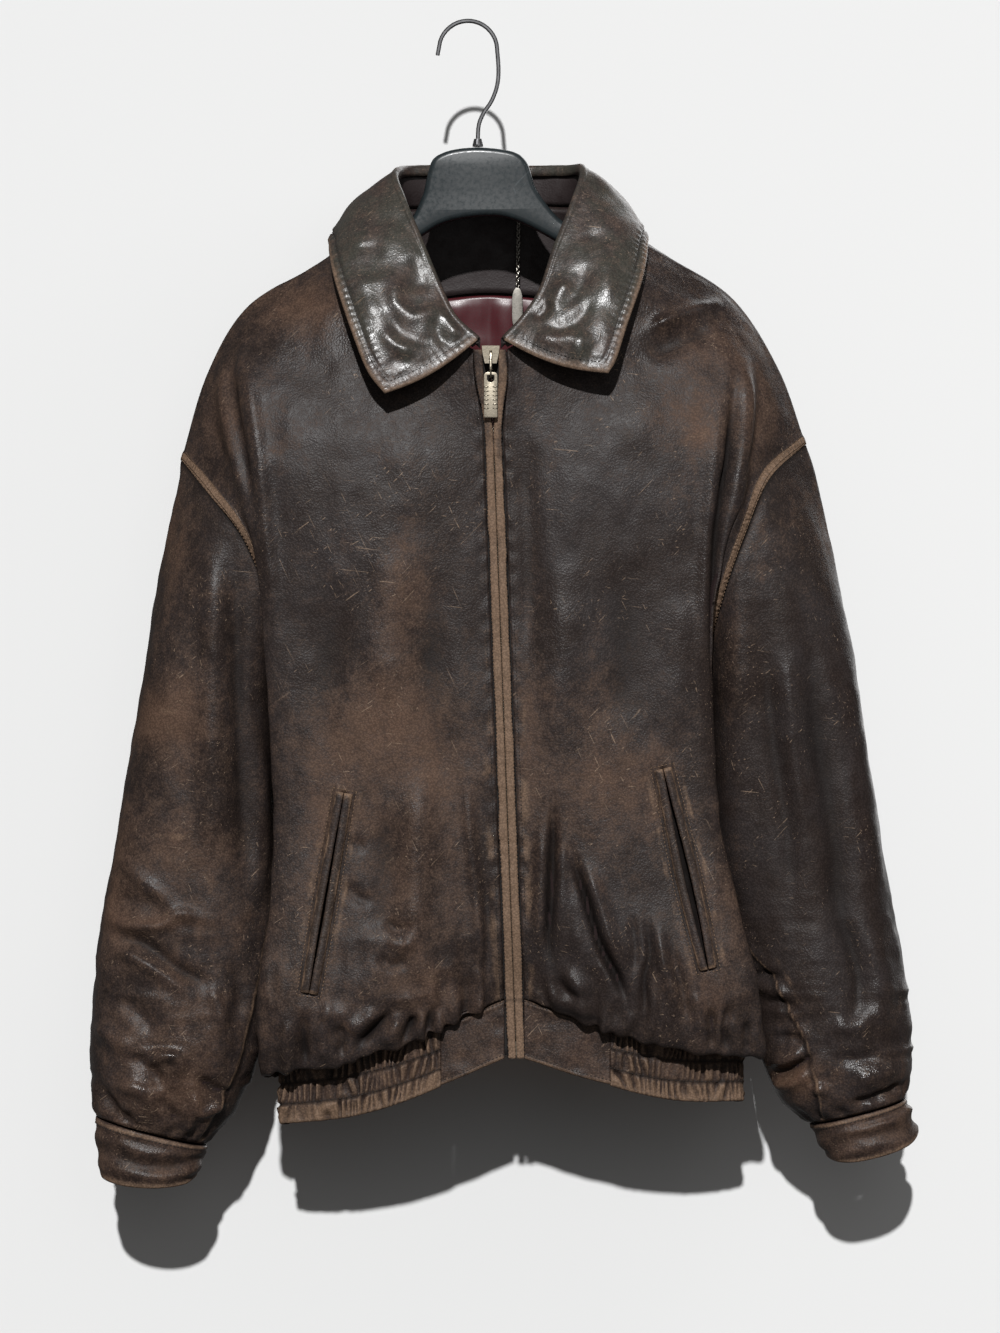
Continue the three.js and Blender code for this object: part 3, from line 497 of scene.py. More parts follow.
def leatherMaterial(name, colour, roughness, grain, wear, crumple=0.17, pucker=1.0, specular=0.165):
    tree, shader = newMaterial(name)
    surface = addNode(tree, "ShaderNodeGroup", {"Depth": grain, "Crumple": crumple, "Pucker": pucker},
                      node_tree=grainTree).outputs
    values = {"Base": (*colour, 1), "Amount": wear, "Base Roughness": roughness, "Height": surface["Height"]}
    look = addNode(tree, "ShaderNodeGroup", values, node_tree=wearAndShadeTree).outputs
    setInputs(tree, shader, {"Base Color": look["Color"], "Roughness": look["Roughness"],
                             "Normal": surface["Normal"], "Specular IOR Level": specular})


def plainMaterial(name, colour, roughness, metallic=0.0, marks=0.3, markColour=(0.5, 0.48, 0.45), bump=0.15,
                  scale=300.0):
    tree, shader = newMaterial(name)
    mottle = noiseOf(tree, ownPlace(tree), scale, 4.0, 0.6)
    scratched = addNode(tree, "ShaderNodeGroup", {"Amount": marks}, node_tree=scratchTree)
    dull = mixColour(tree, remap(tree, mottle, 0.3, 0.7), tuple(0.62 * c for c in colour), colour)
    setInputs(tree, shader, {
        "Base Color": mixColour(tree, scratched.outputs["Mask"], dull, markColour), "Metallic": metallic,
        "Roughness": remap(tree, mottle, 0.3, 0.7, roughness + 0.10, roughness - 0.05),
        "Normal": bumpOf(tree, mottle, bump, 0.0003)})
    return shader


print("shader groups made")

body = {"spacing": 2.2, "thickness": 2.0, "colour": (0.0255, 0.0178, 0.0155), "roughness": 0.45,
        "grain": 0.36, "wear": 1.0, "creaseDepth": 1.5, "gathers": 2.2, "openingGap": 7.84}
leatherMaterial("bodyLeather", body["colour"], body["roughness"], body["grain"], body["wear"])

# Guide lines of the body have a point at each of 14 stations, from the neck to the waistband.
right = {
    "sign": -1, "side": "right",
    "seam": [[-80, 5, -166], [-128, 6, -197], [-180, 6, -229], [-212, 5, -283], [-233, 4, -353],
             [-206, -38, -384], [-178, -50, -420], [-158, -44, -472], [-148, 2, -530],
             [-138, 4, -610], [-138, 2, -700], [-152, 0, -785], [-161, -2, -838], [-150, -3, -834]],
    "backArmhole": [[-233, 4, -353], [-210, 46, -388], [-182, 60, -428], [-160, 50, -478], [-148, 2, -530]],
    "fold": [[-62, -44, -205], [-104, -36, -230], [-150, -37, -262], [-173, -50, -300], [-170, -60, -348],
             [-167, -64, -400], [-163, -66, -445], [-160, -67, -495], [-158, -68, -545], [-154, -70, -625],
             [-155, -76, -705], [-163, -84, -775], [-160, -72, -840], [-146, -50, -830]],
    "backFold": [[-62, 30, -148], [-108, 32, -188], [-158, 38, -230], [-190, 44, -288], [-204, 50, -350],
                 [-180, 60, -398], [-158, 67, -440], [-146, 66, -490], [-150, 52, -545], [-146, 54, -625],
                 [-152, 58, -705], [-162, 62, -780], [-160, 54, -842], [-146, 42, -834]],
    "outer": [[-233, 4, -353], [-241, 4, -395], [-249, 4, -437], [-256, 4, -480], [-263, 3, -525],
              [-271, 2, -573], [-280, 0, -628], [-288, -2, -681], [-298, -4, -741], [-303, -5, -790],
              [-304, -6, -830], [-303, -7, -862], [-300, -8, -880]],
    "inner": [[-148, 2, -530], [-151, 2, -540], [-154, 3, -556], [-156, 3, -578], [-157, 2, -604],
              [-157, 1, -632], [-156, 0, -662], [-156, -2, -697], [-158, -4, -742], [-161, -5, -786],
              [-170, -6, -832], [-186, -7, -872], [-211, -8, -903]],
    "cuffOuter": [[-300, -8, -881], [-300, -9, -902], [-297, -10, -925]],
    "cuffInner": [[-211, -8, -904], [-214, -9, -916], [-219, -10, -928]],
    "pocket": [(-98, -619), (-125, -776)],
}
left = {
    "sign": 1, "side": "left",
    "seam": [[112, 5, -162], [164, 6, -190], [214, 6, -223], [250, 5, -279], [272, 4, -340],
             [241, -38, -368], [221, -50, -412], [201, -46, -468], [186, 2, -535],
             [176, 4, -610], [192, 2, -700], [218, 0, -778], [229, -2, -820], [220, -3, -816]],
    "backArmhole": [[272, 4, -340], [246, 46, -370], [224, 60, -416], [202, 50, -474], [186, 2, -535]],
    "fold": [[96, -44, -202], [142, -38, -226], [188, -40, -257], [209, -54, -300], [206, -62, -345],
             [201, -66, -395], [195, -68, -440], [191, -70, -492], [191, -70, -548], [196, -72, -630],
             [209, -78, -700], [226, -84, -765], [231, -70, -826], [214, -48, -812]],
    "backFold": [[96, 30, -146], [144, 32, -182], [194, 38, -224], [226, 44, -280], [240, 50, -338],
                 [214, 60, -385], [192, 68, -432], [182, 66, -486], [188, 52, -548], [184, 54, -628],
                 [202, 58, -704], [224, 62, -772], [227, 54, -826], [213, 42, -816]],
    "outer": [[272, 4, -340], [285, 4, -384], [295, 4, -428], [304, 4, -474], [312, 3, -522],
              [318, 2, -572], [327, 0, -628], [336, -2, -684], [347, -4, -742], [354, -5, -790],
              [357, -6, -826], [355, -7, -850], [350, -8, -866]],
    "inner": [[186, 2, -535], [189, 2, -545], [191, 3, -562], [193, 3, -584], [194, 2, -610],
              [195, 1, -636], [199, 0, -668], [208, -2, -706], [219, -4, -752], [228, -5, -794],
              [237, -6, -836], [252, -7, -868], [274, -8, -886]],
    "cuffOuter": [[350, -8, -867], [356, -9, -878], [362, -10, -893]],
    "cuffInner": [[274, -8, -887], [280, -9, -900], [288, -10, -912]],
    "pocket": [(153, -600), (188, -757)],
}
halves = [right, left]
shoulderTop = 4  # stations where the armhole starts and ends, and the waistband's seam
underarm = 8
lastStation = 13
seamGap = 0.17  # how far each cloth edge stays back from a seam
edgeZ = between([-268, -296, -330, -370, -412, -452, -490, -530, -572, -640, -710, -762, -778, -782])
backMiddleAt = guide([[16, 54, -137], [15, 59, -168], [13, 64, -212], [11, 67, -268], [10, 69, -330],
                      [10, 70, -385], [11, 70, -435], [12, 70, -485], [14, 70, -540], [18, 72, -612],
                      [22, 76, -686], [26, 82, -746], [30, 78, -790], [30, 64, -784]])
bellyAt = between([2, 4, 6, 8, 8, 7, 6, 6, 6, 7, 9, 12, 12, 5])
sagAt = between([9, 8, 6, 4, 3, 2, 2, 2, 2, 2, 3, 7, 10, 8])
backBellyAt = between([9, 10, 9, 8, 7, 6, 5, 5, 6, 8, 11, 13, 11, 7])
frontTuckAt = between([-4, -5, -5, -4, -2, 2, 5, 6, 7, 8, 8, 6, 4, 3])
backTuckAt = between([-4, -5, -6, -6, -6, -5, -2, 2, 6, 8, 8, 6, 4, 3])
for half in halves:
    half["seamAt"] = guide(half["seam"], [shoulderTop, underarm])
    half["foldAt"] = guide(half["fold"])
    half["backFoldAt"] = guide(half["backFold"])
    half["backArmholeAt"] = guide(half["backArmhole"])


# The middle of the zip in X and Y, and how far the fronts part at its top.
def openingAt(z):
    return 17 + 0.037 * (-268 - z)


def openingY(z):
    return -67 - 12 * (1 - smooth(-600, -290, z)) + 11 * (1 - smooth(-782, -720, z))


def spreadAt(z):
    return 6 * smooth(-338, -282, z)


def backSeamAt(half, stations):
    points = half["seamAt"](stations)
    on = (stations > shoulderTop) & (stations < underarm)
    points[on] = half["backArmholeAt"](stations[on] - shoulderTop)
    return points


def turnPoint(fold, seam, tuck, stations):
    point = (fold + seam) / 2
    point[:, 0] -= tuck
    point[:, 2] -= np.where(stations < shoulderTop, 0, 2)
    return point


def frontControl(half, stations):
    z = edgeZ(stations)
    out = body["openingGap"] + spreadAt(z)
    edge = np.stack([openingAt(z) + half["sign"] * out, openingY(z), z], 1)
    fold = half["foldAt"](stations)
    seam = half["seamAt"](stations)
    chest = []
    for t in (1 / 3, 2 / 3):
        point = edge + (fold - edge) * t
        point[:, 1] -= bellyAt(stations)
        point[:, 2] -= sagAt(stations)
        chest.append(point)
    turn = turnPoint(fold, seam, half["sign"] * frontTuckAt(stations), stations)
    return np.stack([edge, *chest, fold, turn, seam], 1)


def backControl(stations):
    middle = backMiddleAt(stations)
    sides = []
    for half in halves:
        seam = backSeamAt(half, stations)
        fold = half["backFoldAt"](stations)
        blades = []
        for t in (2 / 3, 1 / 3):
            point = middle + (fold - middle) * t
            point[:, 1] += backBellyAt(stations)
            blades.append(point)
        turn = turnPoint(fold, seam, half["sign"] * backTuckAt(stations), stations)
        sides.append([seam, turn, fold, *blades])
    return np.stack([*sides[0], middle, *sides[1][::-1]], 1)


denseStations = np.linspace(0, lastStation, 521)  # fine enough to measure spacing along
denseU = np.linspace(0, 1, 241)


def bodyGrid(control, spacing):
    lines = control(denseStations)
    stations = evenly(denseStations, list(lines.swapaxes(0, 1)), spacing)
    sample = spline(control(np.linspace(1, lastStation, 7)), denseU)
    u = evenly(denseU, list(sample), spacing)
    return spline(control(stations), u), stations, u


# Creases: each has a line in X and Z, a width, a height and sometimes a lean.
frontFolds = {
    -1: [
        ([(-184, -246), (-174, -305), (-165, -366), (-159, -428), (-153, -500)], 7, 3.2),
        ([(-191, -262), (-190, -300), (-180, -350), (-170, -400)], 5, -2.8),
        ([(-198, -268), (-197, -310), (-187, -350), (-172, -402)], 4, 2.0),
        ([(-207, -290), (-205, -330), (-190, -368)], 5, -2.0),
        ([(-66, -625), (-65, -680), (-70, -738)], 14, -3.0),
        ([(-40, -590), (-42, -680), (-48, -756)], 15, 3.4),
        ([(-3, -600), (2, -660), (8, -720), (11, -765)], 5, 2.4),
        ([(13, -680), (16, -735), (13, -772)], 4, -2.6),
        ([(-20, -420), (-30, -480), (-26, -560), (-14, -620)], 16, -2.6),
        ([(-60, -400), (-66, -470), (-62, -560)], 20, 2.4),
        ([(-105, -440), (-112, -520), (-108, -600)], 16, -2.2),
        ([(-66, -716), (-56, -726), (-42, -722)], 4.5, -2.6),
        ([(-72, -746), (-60, -754), (-46, -748)], 4.5, -2.6),
        ([(-64, -731), (-54, -739), (-40, -735)], 4.5, 1.8),
        ([(-100, -690), (-84, -702), (-74, -698)], 5, -1.8),
        ([(-96, -655), (-80, -664)], 5, -1.4),
        ([(-128, -786), (-130, -815), (-127, -840)], 4, -5.0),
        ([(-140, -794), (-141, -820), (-139, -842)], 5, 2.4),
        ([(-116, -796), (-114, -816), (-116, -832)], 6, 3.4),
        ([(-104, -800), (-99, -812), (-101, -828)], 4, -3.8),
        ([(-118, -790), (-104, -793), (-92, -790)], 9, 3.2),
        ([(-58, -790), (-72, -803), (-88, -820)], 4, -5.0),
        ([(-70, -788), (-82, -798), (-96, -808)], 6, 3.0),
        ([(-38, -792), (-46, -804), (-53, -820)], 3.6, -5.0),
        ([(-52, -792), (-60, -806), (-68, -820)], 5, 3.0),
        ([(-22, -782), (-30, -800), (-34, -818)], 4, -3.0),
        ([(-30, -786), (-38, -800), (-42, -816)], 5, 2.6),
        ([(7, -752), (9, -778), (5, -798)], 3.2, 3.0),
        ([(-2, -760), (0, -782), (-6, -802)], 4, -2.4),
    ],
    1: [
        ([(206, -227), (172, -238), (138, -253)], 5.5, 3.4),
        ([(200, -243), (170, -258), (140, -273)], 10, -3.4),
        ([(212, -285), (208, -346), (202, -378), (196, -419), (194, -481), (194, -545)], 4, -6.5),
        ([(199, -300), (196, -350), (190, -410), (186, -480), (185, -545)], 8, 2.6),
        ([(221, -255), (221, -314), (214, -380), (206, -430)], 6, 3.0),
        ([(232, -270), (232, -320), (224, -370)], 5, -2.0),
        ([(66, -622), (65, -694), (62, -734), (67, -760)], 3.0, -5.5, 0.35),
        ([(58, -640), (57, -700), (54, -750)], 6, 3.0),
        ([(73, -650), (72, -700), (72, -750)], 6, 1.8),
        ([(79, -664), (91, -700), (102, -737), (115, -763), (127, -790)], 3.4, -7.5, 0.35),
        ([(88, -668), (101, -702), (113, -737), (127, -768)], 7, 4.2),
        ([(76, -690), (86, -730), (98, -762)], 8, 1.6),
        ([(139, -714), (143, -745), (138, -765), (140, -798)], 3.4, -3.6),
        ([(148, -722), (153, -752), (162, -788)], 5, 3.2),
        ([(158, -736), (168, -775), (173, -800)], 3.6, -2.8),
        ([(128, -712), (131, -742), (128, -765)], 4, -2.4),
        ([(178, -772), (182, -795), (180, -812)], 5, 2.4),
        ([(190, -786), (192, -806), (190, -824)], 3.6, -4.4),
        ([(208, -782), (201, -803), (204, -826)], 3.6, -4.0),
        ([(199, -788), (197, -806), (197, -822)], 4, 2.4),
        ([(222, -796), (219, -812), (221, -828)], 4, -3.2),
        ([(118, -420), (122, -500), (116, -580)], 22, -2.4),
        ([(75, -430), (72, -520), (76, -600)], 16, 2.2),
        ([(165, -430), (168, -510), (160, -590)], 14, 2.0),
        ([(44, -330), (48, -420), (46, -520)], 9, -1.8),
        ([(74, -755), (84, -768), (98, -775)], 6, 2.6),
        ([(64, -762), (76, -776), (92, -783)], 4, -2.0),
    ],
}
# Dark roots of the two deep folds on the left front: line and width.
foldShadows = [
    ([(66, -632), (63, -670), (62, -709), (63, -743), (70, -762), (80, -772)], 2.0),
    ([(80, -672), (86, -690), (93, -709), (105, -743), (117, -774), (124, -787)], 2.4),
    ([(58, -777), (72, -789), (92, -795), (112, -801)], 3.0),
]
# Worn patches: place in X and Z, size in X and Z, strength.
frontWear = {
    -1: [(-48, -470, 26, 70, 0.75), (-62, -560, 52, 42, 0.85), (-20, -610, 34, 50, 0.6),
         (-104, -590, 40, 40, 0.6), (-40, -700, 44, 62, 0.65), (-118, -700, 22, 60, 0.6),
         (-95, -640, 30, 22, 0.6), (-150, -760, 26, 60, 0.45), (-200, -320, 22, 60, 0.75),
         (-140, -228, 60, 26, 0.8), (-25, -780, 60, 30, 0.45), (-100, -400, 60, 80, -0.25)],
    1: [(168, -318, 34, 30, 0.8), (186, -338, 12, 12, 0.9), (132, -612, 40, 34, 0.75),
        (100, -560, 26, 50, 0.6), (84, -640, 30, 40, 0.5), (150, -690, 50, 50, 0.35),
        (205, -700, 26, 60, 0.55), (230, -310, 26, 60, 0.75), (180, -260, 50, 24, 0.55),
        (50, -560, 14, 160, 0.6), (100, -430, 70, 110, -0.45), (170, -770, 50, 40, 0.4),
        (110, -740, 60, 50, -0.5)],
}
backFolds = [
    ([(-130, -230), (-90, -250), (-30, -262), (40, -262), (110, -248), (165, -225)], 12, -3.0),
    ([(-150, -300), (-120, -360), (-96, -440), (-92, -520)], 14, 4.0),
    ([(190, -290), (160, -350), (132, -430), (122, -520)], 14, 4.0),
    ([(-118, -320), (-92, -380), (-74, -460)], 9, -3.0),
    ([(150, -320), (126, -380), (104, -460)], 9, -3.0),
    ([(-60, -420), (-50, -540), (-70, -660), (-62, -760)], 20, -3.6),
    ([(14, -380), (20, -520), (12, -660), (26, -780)], 24, 3.0),
    ([(96, -470), (84, -590), (100, -700), (92, -780)], 20, -3.6),
    ([(-110, -560), (-118, -650), (-104, -740)], 12, 3.4),
    ([(150, -560), (152, -650), (166, -740)], 12, 3.4),
    ([(-128, -620), (-100, -634), (-70, -630)], 6, -2.6),
    ([(-124, -642), (-96, -656), (-66, -652)], 7, 2.4),
    ([(170, -600), (140, -618), (112, -612)], 6, -2.6),
    ([(40, -700), (60, -712), (84, -706)], 6, -2.4),
    ([(-20, -735), (0, -744), (22, -738)], 6, -2.2),
    ([(-112, -760), (-108, -800), (-114, -842)], 5, -4.6),
    ([(-70, -770), (-66, -810), (-72, -846)], 5, -4.6),
    ([(-20, -764), (-16, -808), (-22, -848)], 5, -5.0),
    ([(44, -770), (40, -812), (46, -848)], 5, -5.0),
    ([(98, -760), (104, -806), (98, -844)], 5, -4.6),
    ([(152, -764), (150, -804), (156, -838)], 5, -4.6),
]
backWear = [(-160, -300, 40, 60, 0.6), (190, -290, 40, 60, 0.6), (10, -330, 80, 50, 0.5),
            (-80, -560, 60, 70, 0.55), (110, -600, 60, 80, 0.6), (20, -740, 120, 50, 0.6),
            (14, -180, 60, 20, 0.4)]
leftRing = {"place": (114, -406), "radius": 19}  # a worn ring on the left chest
chestRub = [(61, -342), (130, -341), (209, -344)]  # a rubbed line across the left chest
chestSpots = [(186, -336, 7, 9, 1), (152, -322, 10, 14, 0.7), (136, -318, 8, 20, 0.5)]
welt = {"width": 7.2, "thickness": 1.5, "lift": 3.0, "colour": (0.040, 0.028, 0.022)}
leatherMaterial("weltLeather", welt["colour"], roughness=0.45, grain=0.4, wear=0.8, crumple=0.2, pucker=0.3)


# Upright gathers that start at the waistband seam and die away upwards at different heights.
def gathersAbove(run, above, seed, depth):
    spot = np.stack([run, 0 * run, 0 * run], -1)
    wobble = 34 * noise(np.stack([run, above * 0.5, 0 * run], -1), 33.0, seed)
    reach = 16 + 60 * noise(spot, 23.0, seed + 3)
    size = 0.25 + 1.5 * noise(spot, 15.0, seed + 5)
    wave = np.sin((run + wobble) / 19 * 2 * math.pi)
    return depth * size * wave * hump(above, reach, 1.4) * smooth(-3.0, 13.0, above)


def onArmhole(stations):
    return (stations >= shoulderTop) & (stations <= underarm)


def aboveHem(grid):
    fallen = arcAlong(grid, 0)
    return fallen[-1:] - fallen


# The pocket's own frame: its upper end, its direction, the direction across it and its length.
def pocketFrame(half):
    upper, lower = (np.array(p, float) for p in half["pocket"])
    length = np.linalg.norm(lower - upper)
    d = (lower - upper) / length
    return upper, d, np.array([d[1], -d[0]]), length


# Half of the slot's gape at a share t of its length; the left pocket hangs more open.
def gapeAt(half, t):
    wide = 2.7 if half["sign"] > 0 else 0.9
    return 0.8 + wide * np.sin(math.pi * np.clip(t, 0, 1) ** 1.25)


fronts = []
for half in halves:
    sign, side = half["sign"], half["side"]
    grid, stations, u = bodyGrid(lambda s: frontControl(half, s), body["spacing"])
    grid = inset(grid, ["top", "bottom", "end"], seamGap)
    outward = outwardOf(grid, -sign)
    x, z = grid[..., 0], grid[..., 2]
    seamFar = nearLine(grid, grid[:, -1])[0]
    armFar, armRun = nearLine(grid, grid[onArmhole(stations), -1])
    edgeFar = arcAlong(grid, 1)
    above = aboveHem(grid)
    forward = smooth(0.1, 0.6, -outward[..., 1])
    rise = body["creaseDepth"] * strokes(x, z, frontFolds[sign]) * (0.25 + 0.75 * forward)
    rise += gathersAbove(edgeFar, above, 3 + sign, body["gathers"]) * smooth(4, 26, edgeFar)
    rise += 2.6 * uneven(grid, (30, 30, 48), 5) + 1.3 * uneven(grid, (13, 13, 18), 9)
    rise += smooth(-700, -800, z) * 3.4 * (ridged(grid, (17, 17, 24), 13) - 0.6)
    upper, d, aside, length = pocketFrame(half)
    t = ((x - upper[0]) * d[0] + (z - upper[1]) * d[1]) / length
    across = (x - upper[0]) * aside[0] + (z - upper[1]) * aside[1]
    gape = gapeAt(half, t)
    slotDepth = smooth(-0.01, 0.02, t) * (1 - smooth(0.98, 1.01, t)) * hump(across, gape + 1.2, 4)
    onPocket = smooth(-0.1, 0.02, t) * (1 - smooth(0.98, 1.1, t)) * hump(across, 13, 4)
    rise *= 1 - 0.9 * onPocket
    rise *= smooth(0.5, 9, seamFar) * (0.25 + 0.75 * smooth(0, 14, edgeFar)) * smooth(0.0, 6.0, above + 1.5)
    rise += 0.9 * smooth(9.5, 6.5, armFar) * smooth(0, 2.5, armFar)
    rise += 0.5 * np.sin(above / 3.1 + 5 * noise(grid, 40.0, 4)) * hump(edgeFar - 3.0, 3.5)
    rise -= 9.0 * slotDepth
    outer = grid + outward * rise[..., None]
    blotch = noise(grid, (7, 7, 16), 95)
    zipRub = 0.62 * hump(edgeFar - 6, 6.0) * (0.35 + 0.65 * smooth(0.3, 0.7, blotch)) * smooth(-400, -560, z)
    edge = highest(zipRub, 0.95 * smooth(9.0, 7.0, armFar), 0.42 * hump(above, 9),
                   0.6 * onPocket * hump(np.abs(across) - 10.5, 3))
    lipFar = np.abs(across) - gape * 0.9 - welt["width"]
    besidePocket = smooth(-0.05, 0.0, t) * (1 - smooth(1.0, 1.05, t))
    # Painted shade: darker in the pocket slots, the fold troughs, a line beside the welts, the hem's lowest
    # row and, on the left front, the roots of the deep folds.
    crease = highest(np.clip(1.6 * slotDepth + 0.20 * np.clip(-rise - 2.3, 0, 5) * forward, 0, 1),
                     0.7 * besidePocket * hump(lipFar - 0.4, 1.1), 0.8 * hump(above, 1.8))
    if sign > 0:
        ring = np.hypot(x - leftRing["place"][0], z - leftRing["place"][1]) - leftRing["radius"]
        edge = highest(edge, 0.30 * hump(ring, 2.0) * smooth(-392, -412, z),
                       0.28 * stroke(x, z, chestRub, 1.6, 1.0), 0.55 * blobs(x, z, chestSpots))
        crease = highest(crease, *[0.9 * stroke(x, z, path, width, 1.0) for path, width in foldShadows])
    fields = {
        "wear": blobs(x, z, frontWear[sign]),
        "edge": highest(edge, 0.55 * besidePocket * hump(lipFar - 5.0, 3.0) * (0.4 + blotch)),
        "crease": crease, "gloss": 0.5 * np.clip(rise / 4, 0, 1) + 0.6 * smooth(-300, -225, z),
        "seamFar": armFar, "seamRun": armRun,
    }
    piece = cloth("front" + side.title(), outer, outward, body["thickness"], fields, rounded=["bottom"])
    finishPiece(piece, "front_" + side, "bodyLeather")
    fronts.append({"half": half, "outer": outer, "outward": outwardOf(outer, -sign), "base": grid,
                   "armFar": armFar, "edgeFar": edgeFar})
print("fronts made")

grid, stations, u = bodyGrid(backControl, body["spacing"] * 1.08)
grid = inset(grid, ["top", "bottom", "start", "end"], seamGap)
outward = outwardOf(grid, 1)
x, z = grid[..., 0], grid[..., 2]
sideFar = np.minimum(nearLine(grid, grid[:, 0])[0], nearLine(grid, grid[:, -1])[0])
armRightFar, armRightRun = nearLine(grid, grid[onArmhole(stations), 0])
armLeftFar, armLeftRun = nearLine(grid, grid[onArmhole(stations), -1])
armFar = np.minimum(armRightFar, armLeftFar)
armRun = np.where(armRightFar < armLeftFar, armRightRun, armLeftRun)
above = aboveHem(grid)
backward = smooth(0.1, 0.6, outward[..., 1])
rise = body["creaseDepth"] * strokes(x, z, backFolds) * (0.2 + 0.8 * backward)
rise += gathersAbove(arcAlong(grid, 1), above, 11, body["gathers"] * 1.1)
rise += 3.0 * uneven(grid, (34, 34, 52), 15) + 1.4 * uneven(grid, (13, 13, 18), 19)
rise += smooth(-700, -810, z) * 3.4 * (ridged(grid, (17, 17, 24), 14) - 0.6)
rise *= smooth(0.5, 9, sideFar) * smooth(0.0, 6.0, above + 1.5)
rise += 0.9 * smooth(9.5, 6.5, armFar) * smooth(0, 2.5, armFar)
rise *= smooth(0, 10, arcAlong(grid, 0))
lined = smooth(5.8, 5.2, stations)[:, None] * smooth(0.20, 0.24, u)[None] * smooth(0.80, 0.76, u)[None]
rise = np.where(rise < -0.8, rise + (-0.8 - rise) * lined, rise)  # leaves the lining its room
outer = grid + outward * rise[..., None]
fields = {
    "wear": blobs(x, z, backWear) * (0.3 + 0.7 * backward),
    "edge": highest(0.95 * smooth(9.0, 7.0, armFar), 0.42 * hump(above, 9)),
    # Painted shade: darker in the fold troughs and along the hem's lowest row.
    "crease": np.clip(0.10 * np.clip(-rise - 1.5, 0, 5) + 0.8 * hump(above, 1.8), 0, 1),
    "gloss": 0.5 * np.clip(rise / 4, 0, 1) + 0.5 * smooth(-300, -225, z),
    "seamFar": armFar, "seamRun": armRun,
}
piece = cloth("backPanel", outer, outward, body["thickness"], fields, rounded=["bottom"])
finishPiece(piece, "back", "bodyLeather")
backSurface = {"outer": outer, "armRightFar": armRightFar, "armLeftFar": armLeftFar}
print("back made")

sleeve = {"spacing": 2.2, "thickness": 2.0, "wrinkles": 2.3, "creaseDepth": 1.45}
lastSleeveStation = 12
depthAt = between([55, 56, 57, 57, 56, 54, 52, 50, 49, 49, 48, 44, 34])
sleeveFolds = {
    -1: [
        ([(-205, -400), (-203, -500), (-204, -600), (-200, -680)], 11, 3.2),
        ([(-186, -420), (-184, -520), (-180, -620), (-178, -700)], 8, -4.0),
        ([(-168, -560), (-166, -640), (-168, -720)], 6, 3.0),
        ([(-283, -669), (-261, -689), (-229, -715)], 6, 2.6),
        ([(-293, -717), (-272, -726), (-244, -725), (-229, -716), (-202, -722)], 5, 2.8),
        ([(-286, -700), (-262, -708), (-236, -704)], 8, -2.6),
        ([(-291, -733), (-257, -741), (-236, -758), (-214, -769), (-200, -780)], 6.5, -5.0),
        ([(-287, -741), (-262, -752), (-238, -766), (-222, -782)], 6, 3.6),
        ([(-206, -771), (-198, -794), (-198, -812)], 5, 3.4),
        ([(-186, -752), (-182, -780), (-186, -806)], 6, -3.4),
        ([(-280, -782), (-262, -796), (-246, -812)], 8, -3.0),
        ([(-260, -838), (-243, -829), (-229, -832), (-234, -849)], 4.5, 4.0),
        ([(-282, -849), (-262, -856), (-242, -868)], 7, 4.0),
        ([(-270, -826), (-250, -842), (-240, -856)], 5, -3.6),
        ([(-294, -845), (-291, -862), (-272, -883), (-247, -898)], 5, -4.4),
        ([(-250, -862), (-238, -872), (-232, -884)], 3.6, -3.2),
        ([(-219, -854), (-216, -873), (-206, -872), (-191, -862)], 3.6, 4.0),
        ([(-218, -843), (-206, -853), (-189, -862)], 3.6, -4.0),
        ([(-226, -866), (-222, -880), (-226, -892)], 3.6, 2.8),
        ([(-298, -800), (-284, -816), (-262, -824)], 7, 3.0),
        ([(-268, -890), (-250, -898), (-232, -902)], 4.5, 2.6),
    ],
    1: [
        ([(214, -470), (212, -560), (214, -650), (224, -720)], 13, 4.0),
        ([(232, -480), (240, -560), (252, -640), (258, -720)], 8, -3.6),
        ([(252, -500), (258, -580), (268, -660)], 9, 2.4),
        ([(268, -470), (276, -560), (290, -650), (298, -730), (308, -790)], 10, -4.6),
        ([(296, -480), (306, -570), (318, -660), (326, -740)], 11, 3.0),
        ([(299, -716), (311, -769), (303, -812)], 7, -3.2),
        ([(318, -720), (330, -776), (326, -820)], 9, 3.0),
        ([(222, -767), (238, -765), (252, -770)], 3.6, -2.8),
        ([(224, -777), (240, -776), (256, -781)], 4.0, 2.0),
        ([(234, -790), (248, -787), (262, -793)], 3.6, -2.8),
        ([(244, -816), (256, -814), (266, -820)], 3.6, -2.8),
        ([(238, -845), (251, -843), (264, -835), (276, -828)], 3.4, -5.5),
        ([(242, -853), (258, -851), (272, -842)], 4.5, 3.4),
        ([(240, -834), (254, -832), (268, -825)], 4.5, 3.0),
        ([(272, -860), (280, -854), (286, -862)], 3.2, 3.6),
        ([(302, -867), (327, -862), (353, -851)], 3.6, -5.0),
        ([(306, -878), (326, -874), (345, -864)], 5.5, 4.0),
        ([(300, -850), (322, -846), (346, -836)], 7, 3.0),
        ([(288, -828), (306, -832), (330, -826)], 6, -3.0),
        ([(284, -800), (300, -806), (322, -800)], 8, 2.4),
    ],
}
